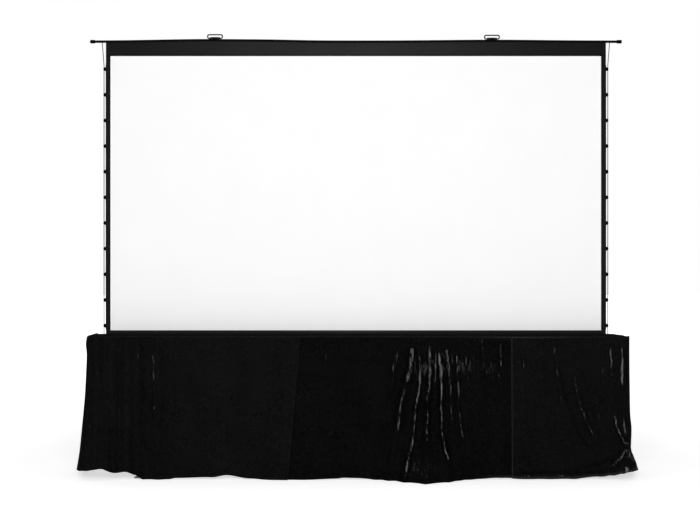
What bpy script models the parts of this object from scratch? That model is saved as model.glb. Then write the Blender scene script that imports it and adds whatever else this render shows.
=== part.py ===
"""A portable projection screen: tab-tensioned fabric that rises out of a case on a wheeled stand.

Metres, Z up. The origin lies on the floor below the middle of the screen. The fabric hangs in the
plane Y = 0 with its white side towards -Y, and two folding scissor lifts stand behind it.
"""

import math

import bmesh
import bpy
from mathutils import Matrix, Vector

# Clearances
SEAT = 0.0003  # between pieces that touch
RUN = 0.0005  # between a pin and its hole, and between faces that slide
OVERRUN = 0.002  # how far a cutter runs past what it cuts, and a joined piece into its neighbour
MERGE = 0.00001  # how near a turned profile's points on its axis count as one
WELD = 0.000001  # how near the points of a curve's caps and sides count as one

# Fabric
PICTURE_HALF = 1.6605
PICTURE_HEIGHT = 1.868
PICTURE_BASE_Z = 0.965
SIDE_BORDER = 0.0305
TOP_BORDER = 0.0905  # from the picture to the bar's centre line
FABRIC_THICK = 0.0006
WHITE_THICK = 0.0003

# Edge tabs and the tension cords that run through them
TAB_COUNT = 11
FIRST_TAB_RISE = 0.0385  # above the picture's lower edge
LAST_TAB_DROP = 0.0945  # below the picture's upper edge
TAB_TALL = 0.027
TAB_TIP_TALL = 0.014
TAB_OVERLAP = 0.015
TAB_THICK = 0.0016
TAB_EYE_RADIUS = 0.004
CORD_RADIUS = 0.0015
CORD_OUT = 0.013
CORD_OUT_AT_BAR = 0.025

# Top bar, which the lifts push up most above their heads
BAR_FOLDED_RISE = 0.030  # above the deck
BAR_RADIUS = 0.0085
BAR_OVERHANG = 0.025  # past the case's ends
LEFT_RISE = 0.010
LEFT_RISE_X = -1.000
RIGHT_RISE = 0.006
RIGHT_RISE_X = 0.920
RISE_SPREAD = 0.450
CAP_RADIUS = 0.012
CAP_LENGTH = 0.031
CAP_END_WALL = 0.012

# Lifting loops and the clamps that hold them on the bar
LEFT_LOOP_X = -0.953
RIGHT_LOOP_X = 0.920
LOOP_WIRE_RADIUS = 0.00325
LOOP_SPAN = 0.1015
LOOP_TALL = 0.0252
LOOP_CORNER = 0.010
LOOP_LIFT = 0.0015
CLAMP_WIDE = 0.064
CLAMP_DEEP = 0.022
CLAMP_TALL = 0.020

# Case
DECK_DROP = 0.025  # below the picture
CASE_TALL = 0.340
CASE_FRONT_Y = -0.187
CASE_REAR_Y = 0.135
WALL = 0.003
SLOT_FRONT_Y = -0.012
SLOT_REAR_GAP = 0.007  # behind the rails
SLOT_LIP = 0.012

# Scissor lifts
STAGES = 2
PIVOT_INSET = 0.191  # from the fabric's edge
FOOT_PIVOT_RISE = 0.060  # above the case's underside
REST_ANGLE = math.radians(62)
ARM_WIDE = 0.035
ARM_THICK = 0.006
ARMS_FRONT_Y = 0.024
PIN_RADIUS = 0.006
PIN_HEAD_RADIUS = 0.010
PIN_HEAD_THICK = 0.002
BOSS_RADIUS = 0.011
RAIL_THICK = 0.006
RAIL_MARGIN = 0.035
BASE_RAIL_ABOVE = 0.0253  # above the pivot
BASE_RAIL_FOOT = 0.045
BASE_RAIL_FOOT_THICK = 0.003
HEAD_RAIL_BELOW = 0.018
HEAD_RAIL_FLANGE = 0.0025
HEAD_RAIL_FRONT_Y = 0.003
SADDLE_LONG = 0.040
SADDLE_DEEP = 0.018
SADDLE_INSET = 0.060
DRUM_RADIUS = 0.035
DRUM_DEEP = 0.030
DRUM_BORE_DEEP = 0.026

# Fabric roller, its motor and its brackets
ROLLER_RISE = 0.180  # above the case's underside
ROLLER_RADIUS = 0.040
ROLLER_WALL = 0.0025
ROLLER_MARGIN = 0.024  # past the fabric's edge
CROWN_THICK = 0.018
PLUG_DEEP = 0.035
PLUG_FLANGE_THICK = 0.004
AXLE_RADIUS = 0.008
MOTOR_RADIUS = 0.0225
MOTOR_LONG = 0.560
MOTOR_COLLAR = 0.015
MOTOR_HEAD_RADIUS = 0.034
MOTOR_HEAD_LONG = 0.020
MOTOR_SHAFT_RADIUS = 0.006
MOTOR_SHAFT_LONG = 0.016
BRACKET_GAP = 0.0045  # past the motor's head
BRACKET_THICK = 0.004
BRACKET_WIDE = 0.090
BRACKET_TALL = 0.230
BRACKET_FOOT = 0.020
BRACKET_END_GAP = 0.009  # to the case's end plate

# Stand
LEG_INSET = 0.322  # from the case's end
LEG_WIDE = 0.050
FOOT_WIDE = 0.060
FOOT_TALL = 0.040
FOOT_FRONT_Y = -0.175
FOOT_REAR_Y = 0.375
STRETCHER_SIDE = 0.040
TUBE_WALL = 0.003
STRETCHER_Z = 0.300
EDGE_ROUND = 0.003

# Castors
CASTOR_FRONT_INSET = 0.130  # from the foot beam's front end
CASTOR_REAR_INSET = 0.140
CASTOR_TRAIL = 0.025
CASTOR_OFF_FLOOR = 0.004
FORK_RISE = 0.026  # from the wheel's top to the foot beam
WHEEL_RADIUS = 0.0375
WHEEL_WIDE = 0.022
WHEEL_HUB_WIDE = 0.026
WHEEL_HUB_RADIUS = 0.012
WHEEL_RIM_RADIUS = 0.027
WHEEL_DISH = 0.004
WHEEL_ROUND = 0.005
AXLE_PIN_RADIUS = 0.004
CHEEK_THICK = 0.004
CHEEK_WIDE = 0.026
CROWN_PLATE_WIDE = 0.048
CROWN_PLATE_THICK = 0.006
STEM_RADIUS = 0.006
STEM_LONG = 0.030

# Levelling jacks
JACK_INSET = 0.025  # from the foot beam's end
JACK_PAD_RADIUS = 0.025
JACK_PAD_THICK = 0.008
JACK_NECK_Z = 0.016
JACK_SPINDLE_RADIUS = 0.006
JACK_KNOB_RADIUS = 0.015
JACK_KNOB_TALL = 0.014
JACK_KNOB_RISE = 0.045  # above the foot beam

# Control box on the back of the case
BOX_X = -1.230
BOX_WIDE = 0.140
BOX_TALL = 0.080
BOX_DEEP = 0.035
BOX_RISE = 0.140  # above the case's underside
INLET_SHIFT = -0.035
INLET_WIDE = 0.028
INLET_TALL = 0.020
INLET_DEEP = 0.016
SWITCH_SHIFT = 0.035
SWITCH_WIDE = 0.015
SWITCH_TALL = 0.024
SWITCH_DEEP = 0.012
ROCKER_HALF_TALL = 0.0112
ROCKER_ROOT_HALF_TALL = 0.009
ROCKER_PROUD = 0.002
ROCKER_DISH = 0.0015
ROCKER_ROOT_DEEP = 0.004

# Skirt of three cloth panels
SKIRT_ABOVE_DECK = 0.007
SKIRT_HEM_Z = 0.001
SKIRT_THICK = 0.003
SKIRT_BACK_INSET = 0.002
SEAM_OVERLAP = 0.050
SEAM_RAMP_START = 0.200
SEAM_RAMP_END = 0.100
SEAM_HANG = 0.014
LEFT_SEAM_TOP_X = -0.370
LEFT_SEAM_HEM_X = -0.449
RIGHT_SEAM_X = 1.026
FOLD_DEPTH = 0.030
FOLD_HALF_WIDE = 0.026
TOP_WIDE_SHARE = 0.70  # a fold's width at the top, of its width halfway down
HEM_WIDE_SHARE = 1.30  # and at the hem
TOP_DEPTH_SHARE = 0.35  # a fold's depth at the top, of its depth at the hem
FADE_IN_SHARE = 0.25  # of the height, over which a fold begins
FADE_OUT_SHARE = 0.15  # and ends
HEM_FLARE = 0.012
HEM_SPREAD = 0.150
HEM_LIFT = 0.062
SKIRT_ROWS = 10
SIDE_COLUMNS = 8
LEFT_COLUMNS = 34
MIDDLE_COLUMNS = 50
RIGHT_COLUMNS = 28

# Main folds as shares of the case's half length: (where at the top, where at the hem). Then how
# far down each begins and ends as shares of the height, and its depth and width as shares of the
# named ones.
FOLD_SHARES = (
    ((-0.985, -0.965), (0.05, 1.00), 0.70, 1.1),
    ((-0.930, -0.925), (0.04, 1.00), 0.55, 1.0),
    ((-0.870, -0.880), (0.10, 1.00), 0.60, 1.0),
    ((-0.812, -0.810), (0.03, 1.00), 0.55, 1.0),
    ((-0.753, -0.735), (0.08, 1.00), 0.60, 1.1),
    ((-0.500, -0.520), (0.25, 1.00), 0.35, 1.6),
    ((0.030, -0.020), (0.20, 1.00), 0.35, 1.5),
    ((0.165, 0.070), (0.04, 1.00), 0.60, 1.0),
    ((0.215, 0.118), (0.04, 1.00), 1.00, 1.0),
    ((0.246, 0.172), (0.04, 1.00), 0.95, 1.0),
    ((0.275, 0.253), (0.04, 1.00), 0.90, 1.0),
    ((0.308, 0.345), (0.04, 1.00), 0.95, 1.0),
    ((0.341, 0.382), (0.06, 1.00), 0.70, 0.9),
    ((0.376, 0.425), (0.10, 1.00), 0.60, 1.0),
    ((0.469, 0.480), (0.02, 0.80), 0.50, 1.0),
    ((0.537, 0.540), (0.02, 1.00), 0.45, 1.0),
    ((0.620, 0.630), (0.04, 0.75), 0.35, 1.0),
    ((0.693, 0.705), (0.02, 0.60), 0.45, 1.0),
    ((0.735, 0.810), (0.02, 0.95), 0.80, 1.0),
    ((0.800, 0.925), (0.15, 1.00), 0.75, 1.1),
    ((0.917, 0.960), (0.05, 1.00), 0.65, 1.0),
    ((0.968, 0.990), (0.04, 1.00), 0.60, 0.9),
    ((1.060, 1.050), (0.06, 1.00), 0.60, 1.0),
    ((1.130, 1.125), (0.06, 1.00), 0.60, 1.0),
    ((-1.050, -1.045), (0.06, 1.00), 0.60, 1.0),
    ((-1.125, -1.120), (0.06, 1.00), 0.55, 1.0),
)

# Where the hem stands out, as (place, width) in shares of the half length, with the amount as a
# share of the named spread and the power by which it grows down the cloth.
SPREAD_SHARES = (
    (0.255, 0.110, 1.00, 3.0),
    (-1.120, 0.085, 0.84, 2.2),
    (1.125, 0.080, 0.98, 7.0),
    (-0.930, 0.050, 0.25, 2.5),
)

# Where the hem clears the floor, as (place, width) in shares of the half length, with the amount
# as a share of the named lift.
LIFT_SHARES = (
    (-0.955, 0.030, 1.00),
    (-0.890, 0.030, 0.70),
    (-0.487, 0.040, 0.45),
    (-0.030, 0.060, 0.20),
    (0.540, 0.050, 0.18),
    (0.960, 0.050, 0.60),
)

# Facets of round pieces
ROUND_SIDES = 12
LARGE_ROUND_SIDES = 24
WHEEL_SIDES = 20
EYE_SIDES = 6
WIRE_STEPS = 2
BAR_STEPS = 3
END_STEPS = 6
CORNER_STEPS = 4
BAR_POINTS = 19
SMOOTH_ANGLE = math.radians(40)

# Colour, roughness and metallic value of each finish
FINISHES = {
    "black_velvet": ((0.008, 0.008, 0.009), 0.60, 0.0),
    "matt_white": ((0.90, 0.90, 0.90), 0.85, 0.0),
    "black_fabric": ((0.014, 0.015, 0.014), 0.80, 0.0),
    "grey_cord": ((0.42, 0.42, 0.42), 0.70, 0.0),
    "black_plastic": ((0.016, 0.016, 0.017), 0.45, 0.0),
    "black_paint": ((0.018, 0.018, 0.019), 0.40, 0.0),
    "dark_steel": ((0.10, 0.10, 0.11), 0.35, 1.0),
    "bare_aluminium": ((0.62, 0.63, 0.64), 0.35, 1.0),
    "zinc_steel": ((0.55, 0.55, 0.56), 0.35, 1.0),
    "grey_rubber": ((0.09, 0.09, 0.09), 0.80, 0.0),
}

# Worked out from the sizes above
BAR_Z = PICTURE_BASE_Z + PICTURE_HEIGHT + TOP_BORDER
DECK_Z = PICTURE_BASE_Z - DECK_DROP
BAR_FOLDED_Z = DECK_Z + BAR_FOLDED_RISE
CASE_BASE_Z = DECK_Z - CASE_TALL
FOOT_PIVOT_Z = CASE_BASE_Z + FOOT_PIVOT_RISE
ROLLER_Z = CASE_BASE_Z + ROLLER_RISE
BOX_Z = CASE_BASE_Z + BOX_RISE
SKIRT_TOP_Z = DECK_Z + SKIRT_ABOVE_DECK
HEAD_DROP = ARM_WIDE / 2 + RUN + HEAD_RAIL_FLANGE + BAR_RADIUS
STAGE_RISE = (BAR_Z - HEAD_DROP - FOOT_PIVOT_Z) / STAGES
ARM_PITCH = STAGE_RISE / math.sin(REST_ANGLE)
FOLD_TRAVEL = BAR_Z - BAR_FOLDED_Z
FOLDED_ANGLE = math.asin(math.sin(REST_ANGLE) - FOLD_TRAVEL / (STAGES * ARM_PITCH))
REST_REACH = ARM_PITCH * math.cos(REST_ANGLE)
FOLDED_REACH = ARM_PITCH * math.cos(FOLDED_ANGLE)
ARMS_MIDDLE_Y = ARMS_FRONT_Y + ARM_THICK
REAR_ARMS_Y = ARMS_MIDDLE_Y + RUN
RAILS_Y = REAR_ARMS_Y + ARM_THICK + RUN
SLOT_REAR_Y = RAILS_Y + RAIL_THICK + SLOT_REAR_GAP
FABRIC_HALF = PICTURE_HALF + SIDE_BORDER
FABRIC_BACK_Y = FABRIC_THICK / 2
TAB_BASE_Z = PICTURE_BASE_Z + FIRST_TAB_RISE
TAB_PITCH = (PICTURE_HEIGHT - FIRST_TAB_RISE - LAST_TAB_DROP) / (TAB_COUNT - 1)
PIVOT_X = FABRIC_HALF - PIVOT_INSET
ROLLER_HALF = FABRIC_HALF + ROLLER_MARGIN
BRACKET_X = ROLLER_HALF + RUN + MOTOR_HEAD_LONG + BRACKET_GAP
CASE_HALF = BRACKET_X + BRACKET_FOOT + BRACKET_END_GAP + WALL
BAR_REACH = CASE_HALF + BAR_OVERHANG
ROLLER_Y = -FABRIC_BACK_Y - SEAT - ROLLER_RADIUS
CORD_Y = -FABRIC_BACK_Y + CORD_RADIUS
ROLLER_BORE = ROLLER_RADIUS - ROLLER_WALL
LEG_X = CASE_HALF - LEG_INSET
LEG_Y = (CASE_FRONT_Y + CASE_REAR_Y) / 2
LEG_TOP_Z = CASE_BASE_Z - SEAT
WHEEL_Z = CASTOR_OFF_FLOOR + WHEEL_RADIUS
FOOT_BASE_Z = WHEEL_Z + WHEEL_RADIUS + FORK_RISE
FOOT_TOP_Z = FOOT_BASE_Z + FOOT_TALL
CASTOR_FRONT_Y = FOOT_FRONT_Y + CASTOR_FRONT_INSET
CASTOR_REAR_Y = FOOT_REAR_Y - CASTOR_REAR_INSET
JACK_FRONT_Y = FOOT_FRONT_Y + JACK_INSET
JACK_REAR_Y = FOOT_REAR_Y - JACK_INSET
JACK_KNOB_Z = FOOT_TOP_Z + JACK_KNOB_RISE
LOOP_AXIS_RISE = BAR_RADIUS + LOOP_LIFT + LOOP_WIRE_RADIUS
SIDES = (("left", -1), ("right", 1))


def clear_scene():
    for thing in list(bpy.data.objects):
        bpy.data.objects.remove(thing, do_unlink=True)


def new_collection(name):
    group = bpy.data.collections.new(name)
    bpy.context.scene.collection.children.link(group)
    return group


def painted(thing, finish):
    """Gives the object a material of its own in one of the finishes."""
    colour, roughness, metallic = FINISHES[finish]
    material = bpy.data.materials.new(thing.name)
    material.use_nodes = True
    shader = material.node_tree.nodes["Principled BSDF"]
    shader.inputs["Base Color"].default_value = (*colour, 1)
    shader.inputs["Roughness"].default_value = roughness
    shader.inputs["Metallic"].default_value = metallic
    material.diffuse_color = (*colour, 1)
    thing.data.materials.append(material)
    return thing


def carried(names, place):
    """Parents the named objects to an empty that stands on their joint's axis."""
    empty = placed(f"{names[0]}_axis", None, PARTS, Matrix.Translation(place))
    for name in names:
        thing = bpy.data.objects[name]
        thing.parent = empty
        thing.matrix_parent_inverse = empty.matrix_world.inverted()


def placed(name, data, group, matrix=None):
    thing = bpy.data.objects.new(name, data)
    group.objects.link(thing)
    if matrix is not None:
        thing.matrix_world = matrix
    if group is CUTTERS:
        thing.hide_render = True
        thing.display_type = "WIRE"
    return thing


def mesh_from(name, shape):
    mesh = bpy.data.meshes.new(name)
    shape.to_mesh(mesh)
    shape.free()
    return mesh


def block(name, low, high, group):
    """A box between two opposite corners, with its origin in its middle."""
    low, high = Vector(low), Vector(high)
    shape = bmesh.new()
    bmesh.ops.create_cube(shape, size=1, matrix=Matrix.Diagonal((*(high - low), 1)))
    return placed(name, mesh_from(name, shape), group, Matrix.Translation((low + high) / 2))


def rod(name, radius, start, end, group, sides=ROUND_SIDES):
    """A cylinder between two points, with its origin at the first."""
    start, end = Vector(start), Vector(end)
    along = end - start
    shape = bmesh.new()
    bmesh.ops.create_cone(
        shape,
        cap_ends=True,
        segments=sides,
        radius1=radius,
        radius2=radius,
        depth=along.length,
        matrix=Matrix.Translation((0, 0, along.length / 2)),
    )
    turn = along.to_track_quat("Z", "Y").to_matrix().to_4x4()
    return placed(name, mesh_from(name, shape), group, Matrix.Translation(start) @ turn)


def turned(name, profile, matrix, group, sides=ROUND_SIDES):
    """A profile of (radius, height) from top to bottom, turned about the local Z axis."""
    mesh = bpy.data.meshes.new(name)
    points = [(radius, 0, height) for radius, height in profile]
    edges = [(i, i + 1) for i in range(len(points) - 1)]
    mesh.from_pydata(points, edges, [])
    thing = placed(name, mesh, group, matrix)
    screw = thing.modifiers.new("turn", "SCREW")
    screw.steps = sides
    screw.render_steps = sides
    screw.use_merge_vertices = True
    screw.merge_threshold = MERGE
    return thing


def as_mesh(curve, group):
    """Turns a curve object into a mesh object of the same name and place, its caps welded."""
    name, matrix = curve.name, curve.matrix_world.copy()
    graph = bpy.context.evaluated_depsgraph_get()
    mesh = bpy.data.meshes.new_from_object(curve.evaluated_get(graph))
    shape = bmesh.new()
    shape.from_mesh(mesh)
    bmesh.ops.remove_doubles(shape, verts=shape.verts, dist=WELD)
    bmesh.ops.recalc_face_normals(shape, faces=shape.faces)
    shape.to_mesh(mesh)
    shape.free()
    bpy.data.objects.remove(curve, do_unlink=True)
    mesh.name = name
    return placed(name, mesh, group, matrix)


def outline(name, points, thick, matrix, group):
    """A flat shape in the local XY plane, its thickness centred on that plane."""
    curve = bpy.data.curves.new(name, "CURVE")
    curve.dimensions = "2D"
    curve.fill_mode = "BOTH"
    curve.extrude = thick / 2
    spline = curve.splines.new("POLY")
    spline.points.add(len(points) - 1)
    for target, (across, up) in zip(spline.points, points):
        target.co = (across, up, 0, 1)
    spline.use_cyclic_u = True
    return as_mesh(placed(name, curve, CUTTERS, matrix), group)


def tube(name, points, radius, resolution, group, closed=False):
    """A round tube along points, in world places."""
    curve = bpy.data.curves.new(name, "CURVE")
    curve.dimensions = "3D"
    curve.bevel_depth = radius
    curve.bevel_resolution = resolution
    curve.use_fill_caps = not closed
    spline = curve.splines.new("POLY")
    spline.points.add(len(points) - 1)
    for target, place in zip(spline.points, points):
        target.co = (*place, 1)
    spline.use_cyclic_u = closed
    return as_mesh(placed(name, curve, CUTTERS), group)


def facing_front(place):
    """Local X to +X, local Y to +Z and the thickness along Y."""
    return Matrix.Translation(place) @ Matrix.Rotation(math.pi / 2, 4, "X")


def facing_side(place):
    """Local X to +Y, local Y to +Z and the thickness along X."""
    turn = Matrix.Rotation(math.pi / 2, 4, "Z") @ Matrix.Rotation(math.pi / 2, 4, "X")
    return Matrix.Translation(place) @ turn


def lying_along_x(place, side=1):
    """Local Z towards the given side of the X axis."""
    return Matrix.Translation(place) @ Matrix.Rotation(side * math.pi / 2, 4, "Y")


def boolean(thing, other, operation):
    change = thing.modifiers.new(operation.lower(), "BOOLEAN")
    change.operation = operation
    change.solver = "EXACT"
    change.object = other
    return thing


def cut(thing, cutter):
    return boolean(thing, cutter, "DIFFERENCE")


def join(thing, piece):
    return boolean(thing, piece, "UNION")


def rounded(thing, width):
    bevel = thing.modifiers.new("edges", "BEVEL")
    bevel.width = width
    bevel.segments = 1
    bevel.limit_method = "ANGLE"
    return thing


def smooth(thing):
    thing.data.shade_smooth()
    thing.data.set_sharp_from_angle(angle=SMOOTH_ANGLE)
    return thing


def bar_centre_z(x):
    """Height of the bar's centre line, which is raised above each lift."""
    left = LEFT_RISE * bump(x, LEFT_RISE_X, RISE_SPREAD)
    right = RIGHT_RISE * bump(x, RIGHT_RISE_X, RISE_SPREAD)
    return BAR_Z + left + right


def spaced(start, end, count):
    """Evenly spaced values from start to end, both included."""
    return [start + (end - start) * i / (count - 1) for i in range(count)]


def arc(centre, radius, start, end, steps):
    """Points (across, up) on an arc, angles in radians."""
    angles = spaced(start, end, steps + 1)
    return [(centre[0] + radius * math.cos(a), centre[1] + radius * math.sin(a)) for a in angles]


def make_fabric():
    """The black tensioned sheet, whose top edge follows the bar, and the white face before it."""
    across = spaced(FABRIC_HALF, -FABRIC_HALF, BAR_POINTS)
    top = [(x, bar_centre_z(x) - BAR_RADIUS - SEAT) for x in across]
    foot = [(-FABRIC_HALF, ROLLER_Z), (FABRIC_HALF, ROLLER_Z)]
    backing = outline("black_backing", foot + top, FABRIC_THICK, facing_front((0, 0, 0)), PARTS)
    painted(backing, "black_fabric")
    front = -FABRIC_BACK_Y - SEAT
    low = (-PICTURE_HALF, front - WHITE_THICK, PICTURE_BASE_Z)
    high = (PICTURE_HALF, front, PICTURE_BASE_Z + PICTURE_HEIGHT)
    painted(block("white_surface", low, high, PARTS), "matt_white")


def make_tabs(name, side):
    """The strip behind one edge of the fabric and its tabs, each with an eye for the cord."""
    inner = FABRIC_HALF - TAB_OVERLAP
    cord = FABRIC_HALF + CORD_OUT
    half, tip = TAB_TALL / 2, TAB_TIP_TALL / 2
    top = (TAB_COUNT - 1) * TAB_PITCH
    points = [(side * inner, top + TAB_TALL), (side * inner, -TAB_TALL)]
    points.append((side * FABRIC_HALF, -TAB_TALL))
    for row in range(TAB_COUNT):
        middle = row * TAB_PITCH
        points += [(side * FABRIC_HALF, middle - half), (side * cord, middle - tip + OVERRUN)]
        points += [(side * cord, middle + tip - OVERRUN), (side * FABRIC_HALF, middle + half)]
    points.append((side * FABRIC_HALF, top + TAB_TALL))
    plate_y = FABRIC_BACK_Y + SEAT + TAB_THICK / 2
    tabs = outline(name, points, TAB_THICK, facing_front((0, plate_y, TAB_BASE_Z)), PARTS)
    low = (side * cord, CORD_Y, TAB_BASE_Z - tip)
    high = (side * cord, CORD_Y, TAB_BASE_Z + tip)
    eyes = rod(f"{name}_eyes", TAB_EYE_RADIUS, low, high, CUTTERS, EYE_SIDES)
    rows = eyes.modifiers.new("rows", "ARRAY")
    rows.count = TAB_COUNT
    rows.use_relative_offset = False
    rows.use_constant_offset = True
    rows.constant_offset_displace = (0, 0, TAB_PITCH)
    join(tabs, eyes)
    low = (side * cord, CORD_Y, TAB_BASE_Z - TAB_TALL)
    high = (side * cord, CORD_Y, TAB_BASE_Z + top + TAB_TALL)
    cut(tabs, rod(f"{name}_bore", CORD_RADIUS + RUN, low, high, CUTTERS, EYE_SIDES))
    painted(tabs, "black_plastic")


def make_cord(name, side):
    """The cord from the bar, in to the first tab's eye, and down to the roller."""
    out, top_out = FABRIC_HALF + CORD_OUT, FABRIC_HALF + CORD_OUT_AT_BAR
    top_tab = TAB_BASE_Z + (TAB_COUNT - 1) * TAB_PITCH
    top = bar_centre_z(side * top_out) - BAR_RADIUS - SEAT
    heights = ((top_out, top), (out, top_tab + TAB_TALL), (out, ROLLER_Z))
    points = [(side * across, CORD_Y, height) for across, height in heights]
    painted(tube(name, points, CORD_RADIUS, WIRE_STEPS, PARTS), "grey_cord")


def make_bar():
    """The slightly bowed tube across the top, with a cap over each end."""
    reach = BAR_REACH - CAP_END_WALL
    line = [(x, 0, bar_centre_z(x)) for x in spaced(-reach, reach, BAR_POINTS)]
    painted(smooth(tube("top_bar", line, BAR_RADIUS, BAR_STEPS, PARTS)), "black_paint")
    bore = BAR_RADIUS + RUN
    inner = CAP_LENGTH - CAP_END_WALL + SEAT
    profile = [(0, CAP_LENGTH), (CAP_RADIUS, CAP_LENGTH), (CAP_RADIUS, 0)]
    profile += [(bore, 0), (bore, inner), (0, inner)]
    for label, side in SIDES:
        place = (side * (BAR_REACH - CAP_LENGTH), 0, bar_centre_z(side * reach))
        turn = lying_along_x(place, side)
        cap = turned(f"bar_end_cap_{label}", profile, turn, PARTS, LARGE_ROUND_SIDES)
        painted(cap, "black_plastic")


def bar_cutter(name):
    """The bar's own shape with its seating gap, to cut what is seated on it."""
    line = [(x, 0, bar_centre_z(x)) for x in spaced(-BAR_REACH, BAR_REACH, 2 * BAR_POINTS)]
    return tube(name, line, BAR_RADIUS + SEAT, BAR_STEPS, CUTTERS)


def make_loop(label, x):
    """A closed wire loop that swings about its lower run, and the clamp that holds that run."""
    axis_z = bar_centre_z(x) + LOOP_AXIS_RISE
    half, corner = LOOP_SPAN / 2 - LOOP_CORNER, LOOP_CORNER
    upper = LOOP_TALL - corner
    centres = [(half, upper), (-half, upper), (-half, corner), (half, corner)]
    points = []
    for turn, centre in enumerate(centres):
        start = turn * math.pi / 2
        points += arc(centre, corner, start, start + math.pi / 2, CORNER_STEPS)
    line = [(across, 0, up) for across, up in points]
    loop = tube(f"lifting_loop_{label}", line, LOOP_WIRE_RADIUS, WIRE_STEPS, PARTS, closed=True)
    loop.location = (x, 0, axis_z)
    painted(smooth(loop), "dark_steel")

    base = bar_centre_z(x)
    low = (x - CLAMP_WIDE / 2, -CLAMP_DEEP / 2, base)
    high = (x + CLAMP_WIDE / 2, CLAMP_DEEP / 2, base + CLAMP_TALL)
    clamp = block(f"loop_clamp_{label}", low, high, PARTS)
    cut(clamp, BAR_CUTTER)
    reach = CLAMP_WIDE / 2 + OVERRUN
    start, end = (x - reach, 0, axis_z), (x + reach, 0, axis_z)
    cut(clamp, rod(f"clamp_bore_{label}", LOOP_WIRE_RADIUS + RUN, start, end, CUTTERS))
    painted(clamp, "black_plastic")


def make_case():
    """Floor, front and rear shells with the halves of the deck, and the two end plates."""
    inside = CASE_HALF - WALL - SEAT
    front = [
        (CASE_FRONT_Y, CASE_BASE_Z),
        (CASE_FRONT_Y + WALL, CASE_BASE_Z),
        (CASE_FRONT_Y + WALL, DECK_Z - WALL),
        (SLOT_FRONT_Y - WALL, DECK_Z - WALL),
        (SLOT_FRONT_Y - WALL, DECK_Z - WALL - SLOT_LIP),
        (SLOT_FRONT_Y, DECK_Z - WALL - SLOT_LIP),
        (SLOT_FRONT_Y, DECK_Z),
        (CASE_FRONT_Y, DECK_Z),
    ]
    rear = [
        (CASE_REAR_Y, CASE_BASE_Z),
        (CASE_REAR_Y, DECK_Z),
        (SLOT_REAR_Y, DECK_Z),
        (SLOT_REAR_Y, DECK_Z - WALL - SLOT_LIP),
        (SLOT_REAR_Y + WALL, DECK_Z - WALL - SLOT_LIP),
        (SLOT_REAR_Y + WALL, DECK_Z - WALL),
        (CASE_REAR_Y - WALL, DECK_Z - WALL),
        (CASE_REAR_Y - WALL, CASE_BASE_Z),
    ]
    painted(outline("case_front_shell", front, 2 * inside, facing_side((0, 0, 0)), PARTS), "black_paint")
    painted(outline("case_rear_shell", rear, 2 * inside, facing_side((0, 0, 0)), PARTS), "black_paint")
    low = (-inside, CASE_FRONT_Y + WALL + SEAT, CASE_BASE_Z)
    high = (inside, CASE_REAR_Y - WALL - SEAT, CASE_BASE_Z + WALL)
    painted(block("case_floor", low, high, PARTS), "black_paint")
    for label, side in SIDES:
        inner, outer = sorted((side * (CASE_HALF - WALL), side * CASE_HALF))
        low = (inner, CASE_FRONT_Y, CASE_BASE_Z)
        high = (outer, CASE_REAR_Y, DECK_Z)
        painted(block(f"case_end_plate_{label}", low, high, PARTS), "black_paint")


def flat_arm(name, pivot, angle, back, ahead, middle_y):
    """A flat bar with round ends in the XZ plane, from back to ahead of its pivot."""
    radius = ARM_WIDE / 2
    points = arc((ahead, 0), radius, -math.pi / 2, math.pi / 2, END_STEPS)
    points += arc((-back, 0), radius, math.pi / 2, 3 * math.pi / 2, END_STEPS)
    place = (pivot[0], middle_y, pivot[1])
    turn = Matrix.Rotation(-angle, 4, "Y") @ Matrix.Rotation(math.pi / 2, 4, "X")
    return outline(name, points, ARM_THICK, Matrix.Translation(place) @ turn, PARTS)


def stepped_pin(name, x, z, steps):
    """A round pin along +Y whose steps are (radius, from y, to y), front to back."""
    start, end = steps[0][1], steps[-1][2]
    profile = [(0, end - start)]
    for radius, near, far in reversed(steps):
        profile += [(radius, far - start), (radius, near - start)]
    profile.append((0, 0))
    matrix = Matrix.Translation((x, start, z)) @ Matrix.Rotation(-math.pi / 2, 4, "X")
    return turned(name, profile, matrix, CUTTERS)


def short_pin(name, place):
    """A headed pin from a front arm through the arm behind it."""
    inside = ARMS_FRONT_Y + ARM_THICK / 2
    steps = [
        (PIN_HEAD_RADIUS, ARMS_FRONT_Y - PIN_HEAD_THICK, inside),
        (PIN_RADIUS, inside, REAR_ARMS_Y + ARM_THICK),
    ]
    return stepped_pin(name, *place, steps)


def long_pin(name, place, end_y):
    """A headed pin from a front arm, past a spacing boss, into a rail and what is behind it."""
    inside = ARMS_FRONT_Y + ARM_THICK / 2
    steps = [
        (PIN_HEAD_RADIUS, ARMS_FRONT_Y - PIN_HEAD_THICK, inside),
        (BOSS_RADIUS, inside, REAR_ARMS_Y + ARM_THICK),
        (PIN_RADIUS, REAR_ARMS_Y + ARM_THICK, end_y),
    ]
    return stepped_pin(name, *place, steps)


def rail_pin(name, place):
    """A pin from a rear arm back into a rail."""
    steps = [(PIN_RADIUS, REAR_ARMS_Y + ARM_THICK / 2, RAILS_Y + RAIL_THICK)]
    return stepped_pin(name, *place, steps)


def arm_hole(name, place):
    x, z = place
    radius = PIN_RADIUS + RUN
    far = RAILS_Y + RAIL_THICK + OVERRUN
    return rod(name, radius, (x, ARMS_FRONT_Y, z), (x, far, z), CUTTERS)


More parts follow.
